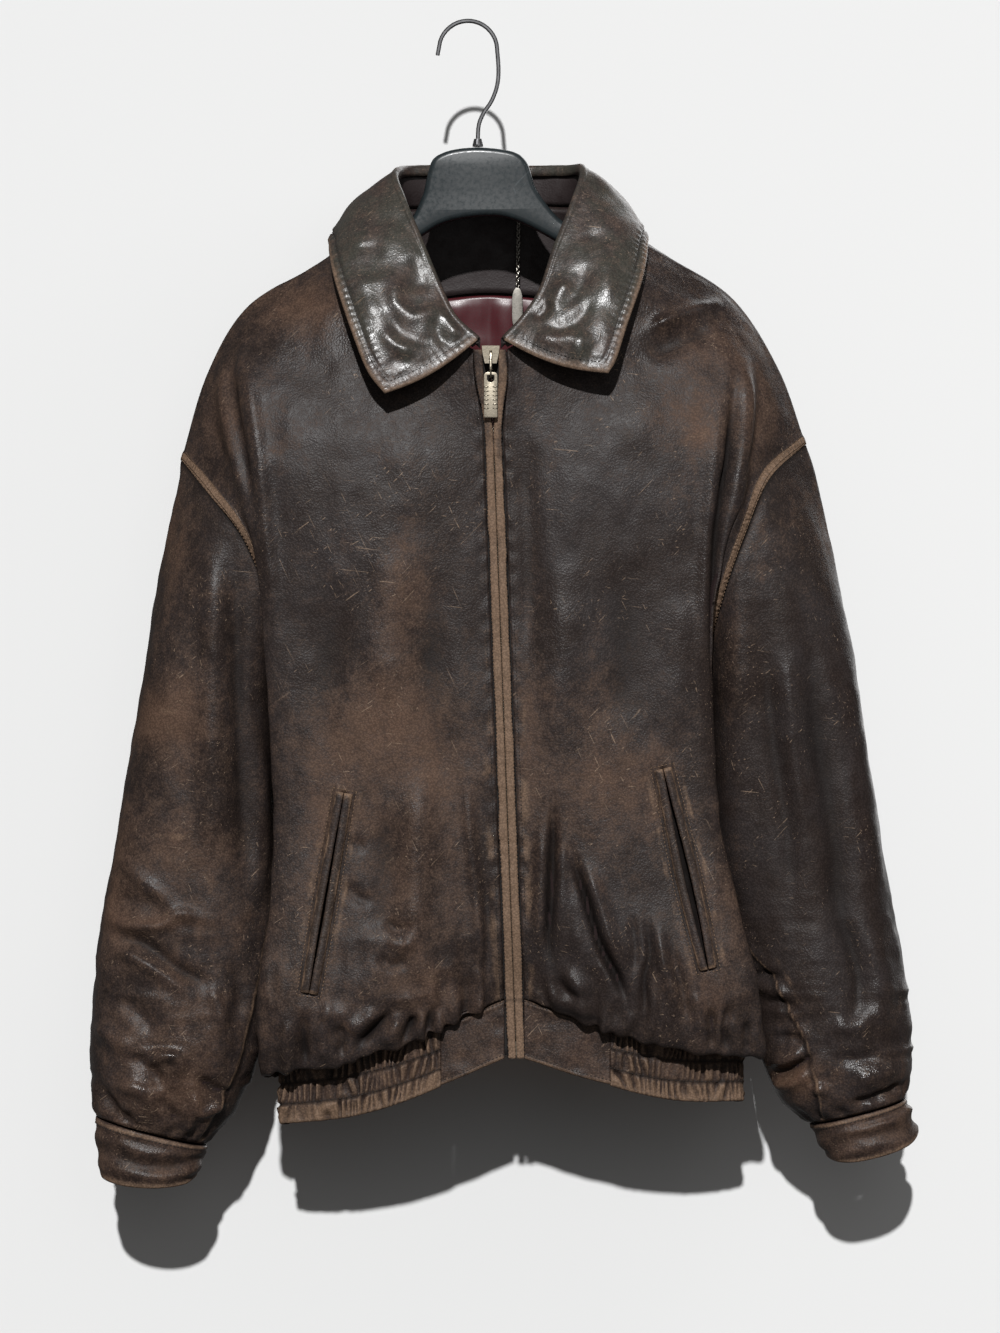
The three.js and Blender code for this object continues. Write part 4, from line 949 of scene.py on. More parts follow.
# The seam that shows on each lower sleeve, then rubbed strips beside it: line and width.
sleeveSeams = {
    -1: [(-157, -690), (-158, -718), (-165, -760), (-173, -802), (-187, -849), (-212, -896)],
    1: [(200, -690), (219, -741), (240, -768), (253, -795), (268, -825), (280, -880)],
}
sleeveScuffs = {
    -1: [([(-286, -660), (-262, -653), (-236, -655), (-205, -654)], 4.5),
         ([(-286, -672), (-262, -688), (-240, -704), (-224, -714)], 2.6),
         ([(-290, -722), (-264, -724), (-240, -716), (-224, -710)], 3.4),
         ([(-212, -672), (-208, -690), (-199, -712)], 4.0),
         ([(-270, -545), (-238, -556), (-214, -548)], 4.0),
         ([(-226, -560), (-232, -590), (-226, -610)], 2.4)],
    1: [([(236, -742), (250, -760), (262, -786), (270, -812)], 3.6),
        ([(258, -852), (270, -846), (284, -850)], 4.5),
        ([(318, -470), (322, -540), (331, -610)], 3.4)],
}
# Folds behind a sleeve: places are shares of its width and of its length.
sleeveBackFolds = [
    ([(0.30, 0.25), (0.42, 0.45), (0.40, 0.62)], 11, 4.0),
    ([(0.60, 0.20), (0.64, 0.42), (0.58, 0.60)], 11, -4.0),
    ([(0.10, 0.52), (0.45, 0.58), (0.90, 0.54)], 7, -4.0),
    ([(0.12, 0.60), (0.50, 0.66), (0.88, 0.61)], 8, 3.6),
    ([(0.15, 0.68), (0.50, 0.73), (0.85, 0.69)], 6, -3.6),
    ([(0.20, 0.80), (0.55, 0.84), (0.86, 0.79)], 6, 3.4),
    ([(0.15, 0.86), (0.50, 0.90), (0.85, 0.86)], 5, -4.0),
]
sleeveWear = {
    -1: [(-262, -562, 26, 24, 1.1), (-225, -560, 22, 30, 0.7), (-215, -665, 30, 22, 0.8),
         (-282, -690, 16, 60, 0.9), (-244, -722, 36, 9, 0.7), (-228, -860, 30, 24, 0.7),
         (-244, -410, 22, 50, 0.8), (-282, -890, 20, 26, 0.6), (-240, -620, 70, 200, 0.3),
         (-240, -820, 60, 60, 0.3)],
    1: [(300, -400, 22, 60, 0.95), (262, -400, 22, 30, 0.4), (324, -560, 14, 80, 0.5),
        (260, -790, 12, 50, 0.7), (330, -800, 30, 40, 0.3), (258, -848, 26, 14, 1.3),
        (214, -520, 14, 60, 0.35), (340, -860, 24, 24, 0.5), (290, -680, 70, 130, -0.9),
        (270, -520, 40, 80, -0.4)],
}

# The worn hole below is shown only as a dark spot of painted shade.
sleeveHole = (-290, -779)  # a small worn hole low on the right sleeve


# Rings of a tube between its outer and inner guide lines, flatter than an ellipse.
def ringPoints(outer, inner, halfDepth, angles, dip=None):
    centre = (outer + inner) / 2
    reach = outer - centre
    c, s = (np.sign(turn) * np.abs(turn) ** 0.86 for turn in (np.cos(angles), np.sin(angles)))
    points = centre[:, None, :] + reach[:, None, :] * c[None, :, None]
    points[..., 1] -= halfDepth[:, None] * s[None, :]
    if dip is not None:
        points[..., 2] -= dip[:, None] * np.abs(np.sin(angles))[None, :]
    return points


def armholeLoop(half, angles):
    along = angles / math.pi
    loop = half["seamAt"](shoulderTop + 4 * np.minimum(along, 1))
    behind = along > 1
    loop[behind] = half["backArmholeAt"](4 * (2 - along[behind]))
    return loop


# Angles that are evenly spaced round a tube, read off the ring at its middle station.
def evenAngles(outerAt, innerAt, depthAt, middle, spacing, girth):
    dense = np.linspace(0, 2 * math.pi, 361)
    run = runAlong(ringPoints(outerAt(middle), innerAt(middle), depthAt(middle), dense)[0])
    count = 2 * int(round(girth / spacing / 2))
    return np.interp(np.linspace(0, run[-1], count + 1)[:-1], run, dense)


for half in halves:
    sign, side = half["sign"], half["side"]
    outerAt, innerAt = guide(half["outer"]), guide(half["inner"])
    dense = np.linspace(0, lastSleeveStation, 481)
    stations = evenly(dense, [outerAt(dense)], sleeve["spacing"])
    angles = evenAngles(outerAt, innerAt, depthAt, 5, sleeve["spacing"], 300)
    grid = ringPoints(outerAt(stations), innerAt(stations), depthAt(stations), angles)
    grid += (armholeLoop(half, angles) - grid[0])[None] * (1 - smooth(0, 4, stations))[:, None, None]
    grid = inset(grid, ["top", "bottom"], 0.5)
    outward = outwardOf(grid, sign, True)
    x, z = grid[..., 0], grid[..., 2]
    down = arcAlong(grid, 0)
    cuffFar = down[-1:] - down
    front, behind = smooth(0.0, 0.5, -outward[..., 1]), smooth(0.0, 0.5, outward[..., 1])
    rise = sleeve["creaseDepth"] * strokes(x, z, sleeveFolds[sign]) * front
    across = np.broadcast_to(50 * (1 + np.cos(angles))[None], x.shape)
    along = np.broadcast_to(560 * (stations / lastSleeveStation)[:, None], x.shape)
    for path, width, height in sleeveBackFolds:
        rise += behind * stroke(across, along, [(p * 100, q * 560) for p, q in path], width, height)
    seamFar, _, seamSide = nearPath(x, z, sleeveSeams[sign])
    seamFar = np.where(front > 0.05, seamFar, 99)
    rise += 1.1 * hump(seamFar * seamSide * sign - 3.5, 3.0) - 1.3 * hump(seamFar, 2.0)
    crumple = ridged(grid, (46, 46, 15), 21) - 0.5 + 0.5 * (ridged(grid + 40, (24, 24, 9), 22) - 0.5)
    rise += sleeve["wrinkles"] * crumple * (0.15 + smooth(-650, -860, z))
    rise += 3.0 * uneven(grid, (30, 30, 60), 25) + 1.2 * uneven(grid, (12, 12, 17), 26)
    gather = np.sin((angles[None] * 44 + 9 * noise(grid, 24.0, 27)) / 15 * 2 * math.pi)
    rise += 1.5 * gather * hump(cuffFar, 16)
    rise *= smooth(0, 14, down) * smooth(-1.0, 7, cuffFar)
    outer = grid + outward * rise[..., None]
    scuffed = 0.62 * front * (0.35 + 0.75 * noise(grid, (9, 9, 9), 37))
    hole = hump(x - sleeveHole[0], 2.2) * hump(z - sleeveHole[1], 2.0) * front * (sign < 0)
    fields = {
        "wear": blobs(x, z, sleeveWear[sign]) * (0.35 + 0.65 * front) + 0.35 * behind * smooth(-560, -700, z),
        "edge": highest(0.45 * hump(cuffFar, 5), 0.8 * hump(seamFar - 2.8, 1.5) * (seamSide * sign > 0),
                        *[scuffed * stroke(x, z, path, width, 1.0) for path, width in sleeveScuffs[sign]]),
        # Painted shade: darker in the fold troughs, along the top rows at the armhole and in the seam's
        # groove, with the worn hole as a dark spot.
        "crease": highest(np.clip(0.12 * np.clip(-rise - 1.8, 0, 5) + hump(down, 2.0), 0, 0.9),
                          0.75 * hump(seamFar, 1.3), hole),
        "gloss": 0.5 * np.clip(rise / 4, 0, 1) + 0.75 * smooth(-740, -850, z),
    }
    piece = cloth("sleeve" + side.title(), outer, outward, sleeve["thickness"], fields, wrap=True)
    finishPiece(piece, "sleeve_" + side, "bodyLeather")
print("sleeves made")

cuff = {"spacing": 1.6, "thickness": 2.4, "rolls": 1.5}
cuffDepthAt = between([34, 33, 31])
cuffGrids = []
for half in halves:
    sign, side = half["sign"], half["side"]
    outerAt, innerAt = guide(half["cuffOuter"]), guide(half["cuffInner"])
    stations = np.linspace(0, 2, 2 * int(round(46 / cuff["spacing"] / 2)) + 1)
    angles = evenAngles(outerAt, innerAt, cuffDepthAt, 1, cuff["spacing"], 225)
    grid = ringPoints(outerAt(stations), innerAt(stations), cuffDepthAt(stations), angles, 9 * stations / 2)
    grid = inset(grid, ["top"], 0.3)
    outward = outwardOf(grid, sign, True)
    fall = np.broadcast_to((stations / 2)[:, None], grid.shape[:2])
    skew = 0.9 * np.sin(angles)[None] + 3.6 * noise(grid, 34.0, 31)
    rolls = np.sin(fall * 12 + skew * 1.8) * (0.3 + 1.2 * noise(grid, 24.0, 34))
    rise = cuff["rolls"] * rolls * smooth(0.1, 0.35, fall) * (1 - smooth(0.8, 1, fall))
    rise += 1.8 * uneven(grid, (18, 18, 8), 33) + 1.6 * (ridged(grid, (30, 30, 8), 35) - 0.6)
    rise += 0.6 * hump(fall - 0.08, 0.05)
    outer = grid + outward * rise[..., None]
    fields = {
        "wear": 0.55,
        "edge": highest(0.8 * hump(1 - fall, 0.12), 0.75 * hump(fall - 0.06, 0.06)),
        # Painted shade: darker in the troughs between the rolls.
        "crease": np.clip(0.22 * np.clip(-rise - 0.6, 0, 4), 0, 0.8),
        "gloss": 0.5 * np.clip(rise / 2, 0, 1) + 0.2,
    }
    piece = cloth("cuff" + side.title(), outer, outward, cuff["thickness"], fields, wrap=True,
                  rounded=["bottom"])
    finishPiece(piece, "cuff_" + side, "bodyLeather")
    cuffGrids.append(outer)
print("cuffs made")

collar = {"spacing": 1.4, "thickness": 2.6, "colour": (0.046, 0.043, 0.0345), "roughness": 0.37,
          "specular": 0.66, "dents": 0.95, "puckers": 0.4, "hemWidth": 8.2}
leatherMaterial("collarLeather", collar["colour"], collar["roughness"], grain=0.24, wear=0.5, crumple=0.16,
                pucker=0.4, specular=collar["specular"])

# The line that the collar rolls over and its free edge, both from the right end round to the left.
rollLine = [[7, -73, -262], [-13, -66, -243], [-27, -57, -214], [-42, -42, -178], [-55, -20, -146],
            [-62, 8, -121], [-44, 40, -113], [16, 56, -112], [78, 40, -113], [94, 8, -118], [86, -20, -148],
            [71, -42, -187], [59, -57, -222], [43, -66, -246], [28, -73, -262]]
leafEdge = [[-66, -86, -305], [-80, -83, -286], [-94, -73, -250], [-107, -50, -210], [-112, -12, -182],
            [-109, 26, -176], [-70, 68, -188], [16, 90, -196], [106, 68, -186], [140, 26, -174],
            [143, -12, -180], [138, -48, -211], [125, -71, -250], [116, -83, -278], [110, -86, -289]]
leafDents = [
    ([(-48, -205), (-58, -228), (-44, -243), (-26, -236), (-20, -218)], 5, 3.2),
    ([(-44, -190), (-40, -210), (-38, -226)], 8, -3.4),
    ([(-66, -236), (-52, -256), (-34, -262), (-18, -252)], 5, -3.2),
    ([(-70, -252), (-58, -266), (-40, -274)], 4, 2.4),
    ([(-64, -274), (-50, -280), (-36, -276)], 5, -2.4),
    ([(-22, -238), (-14, -250), (-8, -262)], 3.6, 3.0),
    ([(-30, -246), (-22, -258), (-16, -268)], 3.4, -3.0),
    ([(-86, -206), (-80, -228), (-74, -250)], 6, 1.8),
    ([(-70, -176), (-76, -196), (-72, -216)], 6, -2.2),
    ([(-88, -170), (-84, -186)], 6, 2.0),
    ([(80, -212), (70, -228), (62, -240)], 4.5, 3.2),
    ([(92, -196), (88, -216), (76, -236)], 6, -2.6),
    ([(66, -228), (56, -240), (50, -234)], 3.2, -3.6),
    ([(58, -246), (74, -252), (90, -240), (98, -224)], 4.5, -3.2),
    ([(52, -256), (70, -262), (88, -254)], 4.5, 2.8),
    ([(94, -254), (86, -268), (90, -280)], 4, 2.2),
    ([(104, -262), (96, -274), (98, -284)], 4, -2.0),
    ([(108, -190), (112, -214), (108, -236)], 7, 2.2),
    ([(96, -170), (104, -188)], 7, -2.2),
]
s = evenly(denseU, [spline(leafEdge, denseU)], collar["spacing"] * 1.15)
leafCount = 2 * int(round(62 / collar["spacing"] / 2))
t = np.linspace(0, 1, leafCount + 1)
roll = spline(rollLine, s)
edgeLine = spline(leafEdge, s)
away = (roll + edgeLine) / 2 - np.array([16, 0, 0])
away[:, 2] = 0
away /= np.linalg.norm(away, axis=1, keepdims=True)
nearEnd = 1 - smooth(0, 0.06, np.minimum(s, 1 - s))  # 1 at the collar's two points
arch = np.sin(math.pi * t)
grid = roll[None] + (edgeLine - roll)[None] * (t**1.1)[:, None, None]
grid = grid + away[None] * (9 * arch[:, None] * (1 - 0.55 * nearEnd)[None])[..., None]
grid[..., 2] += 3 * arch[:, None] * (1 - nearEnd)[None] - 7 * arch[:, None] * nearEnd[None]
curl = np.linspace(math.pi, 0, 7)[:-1]
curlRadius = 1.9
lip = np.array([0, 0, 1.0])
turned = [roll - away * 2 * curlRadius - lip * drop for drop in (6.0, 3.0)]
turned += [roll - away * curlRadius * (1 - math.cos(a)) + lip * curlRadius * math.sin(a) for a in curl]
grid = np.concatenate([np.array(turned), grid])
outward = outwardOf(grid, 1)
grid = grid + outward * 1.3
x, z = grid[..., 0], grid[..., 2]
pastRoll = np.arange(len(grid))[:, None] - len(turned)
onLeaf = pastRoll >= 0
outline = np.concatenate([grid[len(turned):, 0], grid[-1], grid[len(turned):, -1][::-1]])
rimFar, rimRun = nearLine(grid, outline)
forward = smooth(0.0, 0.5, -outward[..., 1])
wider = [(line, 1.35 * width, height) for line, width, height in leafDents]
rise = collar["dents"] * strokes(x, z, wider) * forward * smooth(5, 12, rimFar)
rise += 3.2 * (noise(grid, (17, 17, 17), 41) - 0.5) * smooth(4, 12, rimFar)
hem = collar["hemWidth"]
rise -= 1.25 * hump(rimFar - hem, 1.25)
onHem = smooth(hem, hem - 2, rimFar)
pucker = np.sin(rimRun / 6.2 * 2 * math.pi + 6 * noise(grid, 28.0, 42))
rise += onHem * (0.7 + collar["puckers"] * pucker * smooth(0.2, 2.5, rimFar))
rise += 0.45 * pucker * hump(rimFar - hem - 3, 3)
rise *= np.clip(pastRoll / 4, 0, 1)
outer = grid + outward * rise[..., None]
thick = 1.2 + (collar["thickness"] - 1.2) * smooth(0, 10, pastRoll)
fields = {
    "wear": 0.5,
    "edge": highest((0.45 + 0.4 * smooth(4.5, 1.5, rimFar)) * onHem, 0.3 * hump(rimFar, 16)) * onLeaf,
    # Painted shade: a dark line in the groove inside the stitched hem.
    "crease": 0.35 * hump(rimFar - hem, 0.9) * onLeaf,
    "gloss": 0.1 + 0.3 * np.clip(rise / 3, 0, 1),
}
piece = cloth("collarLeaf", outer, outward, thick, fields, rounded=["bottom", "start", "end"])
finishPiece(piece, "collar_leaf", "collarLeather")
leafOuter, leafRimFar, leafStart = outer, rimFar, len(turned)

# The stand falls from under the roll to the neck seam.
atNeck = np.array([0.0])
neckline = np.concatenate([
    spline(frontControl(right, atNeck)[0], np.linspace(0, 1, 60)),
    spline(backControl(atNeck)[0], np.linspace(0, 1, 120))[1:-1],
    spline(frontControl(left, atNeck)[0], np.linspace(1, 0, 60)),
])
neckRun = np.concatenate([np.linspace(0, 0.25, 60), np.linspace(0.25, 0.75, 120)[1:-1],
                          np.linspace(0.75, 1, 60)])
standSteps = np.linspace(0, 1, 281)
foot = np.stack([np.interp(standSteps, neckRun, neckline[:, k]) for k in range(3)], 1)
foot[:, 2] += 1.2
top = spline(rollLine, standSteps)
reach = top[:, 2] - foot[:, 2]
top[:, 2] -= np.where(reach > 12, 4.4, 2.4)
grid = top[None] + (foot - top)[None] * np.linspace(0, 1, 17)[:, None, None]
outward = outwardOf(grid, 1)
if outward[8, 20, 1] > 0:
    outward = -outward  # faces forward at the front of the neck
rise = 1.2 * uneven(grid, (14, 14, 10), 45)
rise[0] = rise[-1] = 0
outer = grid + outward * rise[..., None]
piece = cloth("collarStand", outer, outward, 1.6, {"edge": 0.1, "gloss": 0.2})
finishPiece(piece, "collar_stand", "collarLeather")
print("collar made")

satin = {"thickness": 1.0, "colour": (0.080, 0.010, 0.0145), "folds": 3.2, "sheen": 0.4}
lining = plainMaterial("burgundySatin", satin["colour"], roughness=0.34, marks=0.0, bump=0.1, scale=1400.0)
lining.inputs["Sheen Weight"].default_value = satin["sheen"]
lining.inputs["Sheen Roughness"].default_value = 0.35


# A patch on the inner side of the back, between two of its stations.
def insidePatch(name, stations, columns, thickness, amount):
    grid = inset(spline(backControl(stations), np.linspace(0.25, 0.75, columns)), ["top"], 0.34)
    wave = uneven(grid, (13, 20, 26), 51) + 0.6 * (ridged(grid, (9, 14, 22), 52) - 0.6)
    border = smooth(0, 5, np.arange(len(stations)))[:, None]
    rise = -3.2 - amount * np.clip(wave + 0.45, 0, 1.2) * border
    outer = grid + outwardOf(grid, 1) * rise[..., None]
    return cloth(name, outer, outwardOf(outer, 1), thickness, {"edge": 0.0})


piece = insidePatch("neckFacing", np.linspace(0.0, 2.0, 41), 101, body["thickness"], 0.8)
finishPiece(piece, "back_neck_facing", "collarLeather")
piece = insidePatch("backLining", np.linspace(2.04, 5.0, 97), 151, satin["thickness"], satin["folds"])
finishPiece(piece, "back_lining", "burgundySatin")
print("inside made")

band = {"spacing": 1.25, "thickness": 2.4, "height": 47, "ridges": 1.9, "ridgePitch": 5.6,
        "stitchRows": (0.37, 0.69)}
hemGap = 2.5  # from the guide lines' last station down to the band
hemStation = np.array([float(lastStation)])


def hemLine(half, u):
    return spline(frontControl(half, hemStation)[0], u)


def hemCrossing(half, x):
    u = np.linspace(0, 1, 4001)
    return u[np.argmax((hemLine(half, u)[:, 0] - x) * half["sign"] > 0)]


# A length of waistband hung from a line; drop and lean give its depth and its slant along the line.
def bandPiece(name, line, drop, lean, side, gathered, seed, ends):
    run = runAlong(line)
    even = np.linspace(0, run[-1], 2 * int(round(run[-1] / band["spacing"] / 2)) + 1)
    line = np.stack([np.interp(even, run, line[:, k]) for k in range(3)], 1)
    t = even / run[-1]
    fall = np.linspace(0, 1, 2 * int(round(band["height"] / band["spacing"] / 2)) + 1)
    grid = np.repeat(line[None], len(fall), 0)
    grid[..., 2] -= hemGap + fall[:, None] * drop(t)[None]
    grid[..., 1] += fall[:, None] * lean(t)[None]
    grid = inset(grid, ends, 0.2)
    sideways = outwardOf(grid, side)[0]
    tucked = [grid[0] - sideways * back + np.array([0, 0, up]) for back, up in ((4.6, 5.4), (4.4, 2.6))]
    grid = np.concatenate([tucked, grid])
    outward = outwardOf(grid, side)
    along = np.broadcast_to(even[None], grid.shape[:2])
    depth = np.broadcast_to(np.concatenate([[0.0, 0.0], fall])[:, None], grid.shape[:2])
    rise = 1.2 * uneven(grid, (14, 14, 9), seed)
    if gathered:
        pinch = np.ones_like(depth)
        for row in band["stitchRows"]:
            pinch *= 1 - 0.9 * hump(depth - row, 0.034)
        tier = np.digitize(depth, band["stitchRows"])
        spot = np.stack([along, tier * 9.0 + 16 * depth, 0 * along], -1)
        wobble = 34 * noise(spot, 24.0, seed + 1) + 9 * noise(spot, 8.0, seed + 4)
        turn = 2 * math.pi / band["ridgePitch"]
        wave = np.sin((along + wobble) * turn) + 0.35 * np.sin((2.3 * along + 1.7 * wobble) * turn)
        size = 0.1 + 1.7 * noise(spot, 10.0, seed + 2)
        border = smooth(0, 0.05, depth) * (0.35 + 0.65 * smooth(0, 0.12, 1 - depth))
        ridges = band["ridges"] * wave * size * pinch * border
        ridges *= smooth(0, 6, along + 1) * smooth(0, 6, run[-1] - along + 1)
        rise += ridges + 0.5 * pinch
        # Painted shade: darker in the gathers' troughs and along the pinched stitch rows.
        crease = highest(np.clip(0.26 * np.clip(-ridges - 0.6, 0, 3), 0, 0.7),
                         0.75 * np.clip(1.3 - 1.5 * pinch, 0, 1))
        edge = 0.40 + 0.34 * np.clip(ridges / 2.0, -1, 1) + 0.36 * smooth(0.6, 0.9, depth)
    else:
        rise *= 1.6
        crease = 0.0
        edge = 0.22 + 0.4 * hump(1 - depth, 0.1) + 0.3 * hump(depth, 0.06)
    rise += 0.5 * hump(depth - 0.97, 0.03) + 0.5 * hump(depth - 0.03, 0.03)
    outer = grid + outward * rise[..., None]
    fields = {"wear": 0.45, "edge": edge, "crease": crease, "gloss": 0.35 * np.clip(rise / 2, 0, 1) + 0.1}
    return cloth(name, outer, outward, band["thickness"], fields, rounded=["bottom", "top"]), outer


def finishBand(piece, node):
    finishPiece(piece, node, "bodyLeather")


bandRows = []
hemU = np.linspace(0, 1, 801)
for half, tabEnd, tabWidth in zip(halves, (-22, 112), (0.05, 0.085)):
    sign, side = half["sign"], half["side"]
    cut = hemCrossing(half, tabEnd)
    cutGap = hemCrossing(half, tabEnd + sign * 0.15)
    piece, tab = bandPiece("bandTab" + side.title(), hemLine(half, hemU * cut), lambda t: 45 + 0 * t,
                           lambda t: 0 * t, -sign, False, 60 + sign, [])
    finishBand(piece, "band_tab_" + side)
    piece, elastic = bandPiece("bandElastic" + side.title(), hemLine(half, cutGap + hemU * (1 - cutGap)),
                               lambda t: band["height"] + 5 * np.sin(math.pi * t) + t - 1,
                               lambda t: 4 * np.sin(math.pi * t), -sign, True, 66 + sign, ["end"])
    finishBand(piece, "band_elastic_" + side)
    bandRows += [(tab, -sign, (0.05, 0.93)), (elastic, -sign, band["stitchRows"])]
piece, backBand = bandPiece("bandBack", spline(backControl(hemStation)[0], hemU),
                            lambda t: band["height"] + 3 * np.sin(math.pi * t),
                            lambda t: -5 * np.sin(math.pi * t), 1, True, 72, ["start", "end"])
finishBand(piece, "band_back")
bandRows.append((backBand, 1, band["stitchRows"]))
print("waistband made")

placket = {"spacing": 1.5, "thickness": 1.2, "foldWidth": 7.3, "colour": (0.050, 0.034, 0.026),
           "tapeThickness": 1.0, "tapeColour": (0.012, 0.009, 0.008)}
leatherMaterial("placketLeather", placket["colour"], roughness=0.55, grain=0.4, wear=0.6, crumple=0.25,
                pucker=0.3)
plainMaterial("tapeCloth", placket["tapeColour"], roughness=0.85, marks=0.0, bump=0.5, scale=1800.0)
zipTop = -269
bandBottom = -782 - band["height"]


# A strip beside the zip. Its section is a list of steps outward and forward from the zip's middle.
def stripPiece(name, half, topZ, bottomZ, section, thickness, ripple, spacing):
    z = np.linspace(topZ, bottomZ, 2 * int(round((topZ - bottomZ) / spacing / 2)) + 1)
    columns = []
    for out, forward, parted in section:
        x = openingAt(z) + half["sign"] * (out + (spreadAt(z) if parted else 0))
        columns.append(np.stack([x, openingY(z) - forward, z], 1))
    grid = np.stack(columns, 1)
    outward = outwardOf(grid, -half["sign"])
    rise = 1.5 * ripple * uneven(grid, (30, 30, 4.6), 81) + 2.4 * ripple * uneven(grid, (9, 9, 22), 82)
    outer = grid + outward * rise[..., None]
    tan = 0.30 + 0.5 * noise(grid, (40, 40, 40), 83) + 0.45 * smooth(-310, -440, grid[..., 2])
    tan += 0.5 * uneven(grid, (5, 5, 11), 84)
    tan = 1.2 * tan * (1 - smooth(0.80, 1.0, np.linspace(0, 1, grid.shape[1])))[None]
    # Painted shade: a dark band across the placket where it passes under the front hem.
    fields = {"edge": tan, "wear": 0.5, "crease": 0.5 * hump(grid[..., 2] + 783, 1.6) if ripple else 0}
    return cloth(name, outer, outward, thickness, fields, rounded=["start", "end"] if ripple else []), outer


placketFold = [(0.2 + placket["foldWidth"] * t, 1.3 + 2.3 * math.sqrt(1 - t**3) - 0.5 * (1 - t)**3, True)
               for t in np.linspace(0, 1, 9)]
tapeSection = [(out, -4.4, False) for out in (0.3, 8.2, 14.5)]
placketGrids = []
for half in halves:
    side = half["side"]
    piece, outer = stripPiece("placket" + side.title(), half, zipTop, bandBottom, placketFold,
                              placket["thickness"], ripple=0.7, spacing=placket["spacing"])
    finishPiece(piece, "placket_" + side, "placketLeather")
    placketGrids.append(outer)
    piece, outer = stripPiece("zipTape" + side.title(), half, zipTop - 1, bandBottom + 2, tapeSection,
                              placket["tapeThickness"], ripple=0.0, spacing=6.0)
    finishPiece(piece, "zip_tape_" + side, "tapeCloth")
print("plackets made")

stitching = {"pitch": 3.0, "length": 1.9, "width": 0.75, "dark": (0.022, 0.015, 0.012),
             "tan": (0.20, 0.125, 0.075), "lift": 0.2}
plainMaterial("threadDark", stitching["dark"], roughness=0.7, marks=0.0, bump=0.0)
plainMaterial("threadTan", stitching["tan"], roughness=0.7, marks=0.0, bump=0.0)
stitchLines = {"threadDark": [], "threadTan": []}


# Points on a front's surface at places in X and Z, and the surface's normals there.
def onSurface(outer, outward, x, z):
    flat = outer.reshape(-1, 3)
    normals = outward.reshape(-1, 3)
    cost = np.where(normals[:, 1] < 0.2, 0, 1e6)  # keeps to the side that faces forward
    found = []
    directions = []
    downStep = np.gradient(outer, axis=0).reshape(-1, 3)
    acrossStep = np.gradient(outer, axis=1).reshape(-1, 3)
    for px, pz in zip(np.ravel(x), np.ravel(z)):
        k = np.argmin((flat[:, 0] - px) ** 2 + (flat[:, 2] - pz) ** 2 + cost)
        a, b = downStep[k], acrossStep[k]
        determinant = a[0] * b[2] - a[2] * b[0]
        dx, dz = px - flat[k, 0], pz - flat[k, 2]
        p = (dx * b[2] - dz * b[0]) / determinant
        q = (a[0] * dz - a[2] * dx) / determinant
        found.append(flat[k] + np.clip(p, -1, 1) * a + np.clip(q, -1, 1) * b)
        directions.append(normals[k])
    shape = np.shape(x)
    return np.array(found).reshape(*shape, 3), np.array(directions).reshape(*shape, 3)


# Two welts stand beside each pocket's slot, and a stitched frame goes round them.
for surface in fronts:
    half = surface["half"]
    sign, side = half["sign"], half["side"]
    upper, d, across, length = pocketFrame(half)
    t = np.linspace(0, 1, 53)
    profile = np.linspace(0, 1, 9)
    for part, turn in (("Outer", sign), ("Inner", -sign)):
        towards = turn if across[0] > 0 else -turn
        offset = gapeAt(half, t)[:, None] * 0.9 + welt["width"] * profile[None]
        place = upper[None, None] + d * (t * length)[:, None, None] + across * (towards * offset)[..., None]
        points, normals = onSurface(surface["base"], surface["outward"], place[..., 0], place[..., 1])
        normals = normals.mean(axis=(0, 1))
        normals /= np.linalg.norm(normals)
        lift = 1.0 + welt["lift"] * np.sin(math.pi * np.clip(profile * 0.92 + 0.06, 0, 1)) ** 0.65
        taper = 0.75 + 0.25 * np.sin(math.pi * np.clip(t, 0.02, 0.98)) ** 0.25
        bumpy = 0.5 * uneven(points, (5, 5, 9), 91)
        points = points + normals * (lift[None] * taper[:, None] + bumpy)[..., None]
        outward = outwardOf(points, 1)
        if outward[26, 4, 1] > 0:
            outward = -outward  # the middle of a welt faces forward
        tan = 0.06 + 1.05 * smooth(0.82, 0.97, profile)[None] + 0.5 * smooth(0.2, 0.0, profile)[None]
        tan = highest(tan, 0.9 * smooth(0.03, 0.0, np.minimum(t, 1 - t))[:, None])
        tan += 0.9 * uneven(points, (6, 6, 10), 92)
        piece = cloth("welt" + part + side.title(), points, outward, welt["thickness"],
                      {"edge": tan, "wear": 0.15}, rounded=["start", "end"])
        finishPiece(piece, f"welt_{part.lower()}_{side}", "weltLeather")
    corners = np.array([(-1, 0), (-1, 1), (1, 1), (1, 0), (-1, 0)], float)  # side of the slot, share down it
    steps = np.linspace(0, 1, 40)[:, None]
    frameLine = np.concatenate([start + (stop - start) * steps for start, stop in zip(corners, corners[1:])])
    out = (gapeAt(half, frameLine[:, 1]) * 0.9 + welt["width"] + 1.5) * frameLine[:, 0]
    stop = -2.5 + (length + 5) * frameLine[:, 1]
    place = upper + d * stop[:, None] + across * out[:, None]
    points, normals = onSurface(surface["outer"], surface["outward"], place[:, 0], place[:, 1])
    stitchLines["threadTan"].append(points + normals * 0.15)
print("welts made")


# The line on a grid where a field reaches a level, looked for along each row from one end.
def lineAt(outer, normals, field, level, rows, fromEnd, lift=stitching["lift"]):
    points = []
    order = range(outer.shape[1] - 1, 0, -1) if fromEnd else range(0, outer.shape[1] - 1)
    step = -1 if fromEnd else 1
    for i in rows:
        for j in order:
            a, b = field[i, j], field[i, j + step]
            if a <= level < b:
                f = (level - a) / (b - a)
                points.append(outer[i, j] * (1 - f) + outer[i, j + step] * f + normals[i, j] * lift)
                break
    return np.array(points)


def besideArmhole(outer, normals, field, fromEnd):
    rows = [i for i in range(len(outer)) if field[i, -1 if fromEnd else 0] < 0.6]
    for level in leather["seamLines"]:
        stitchLines["threadTan"].append(lineAt(outer, normals, field, level, rows, fromEnd))


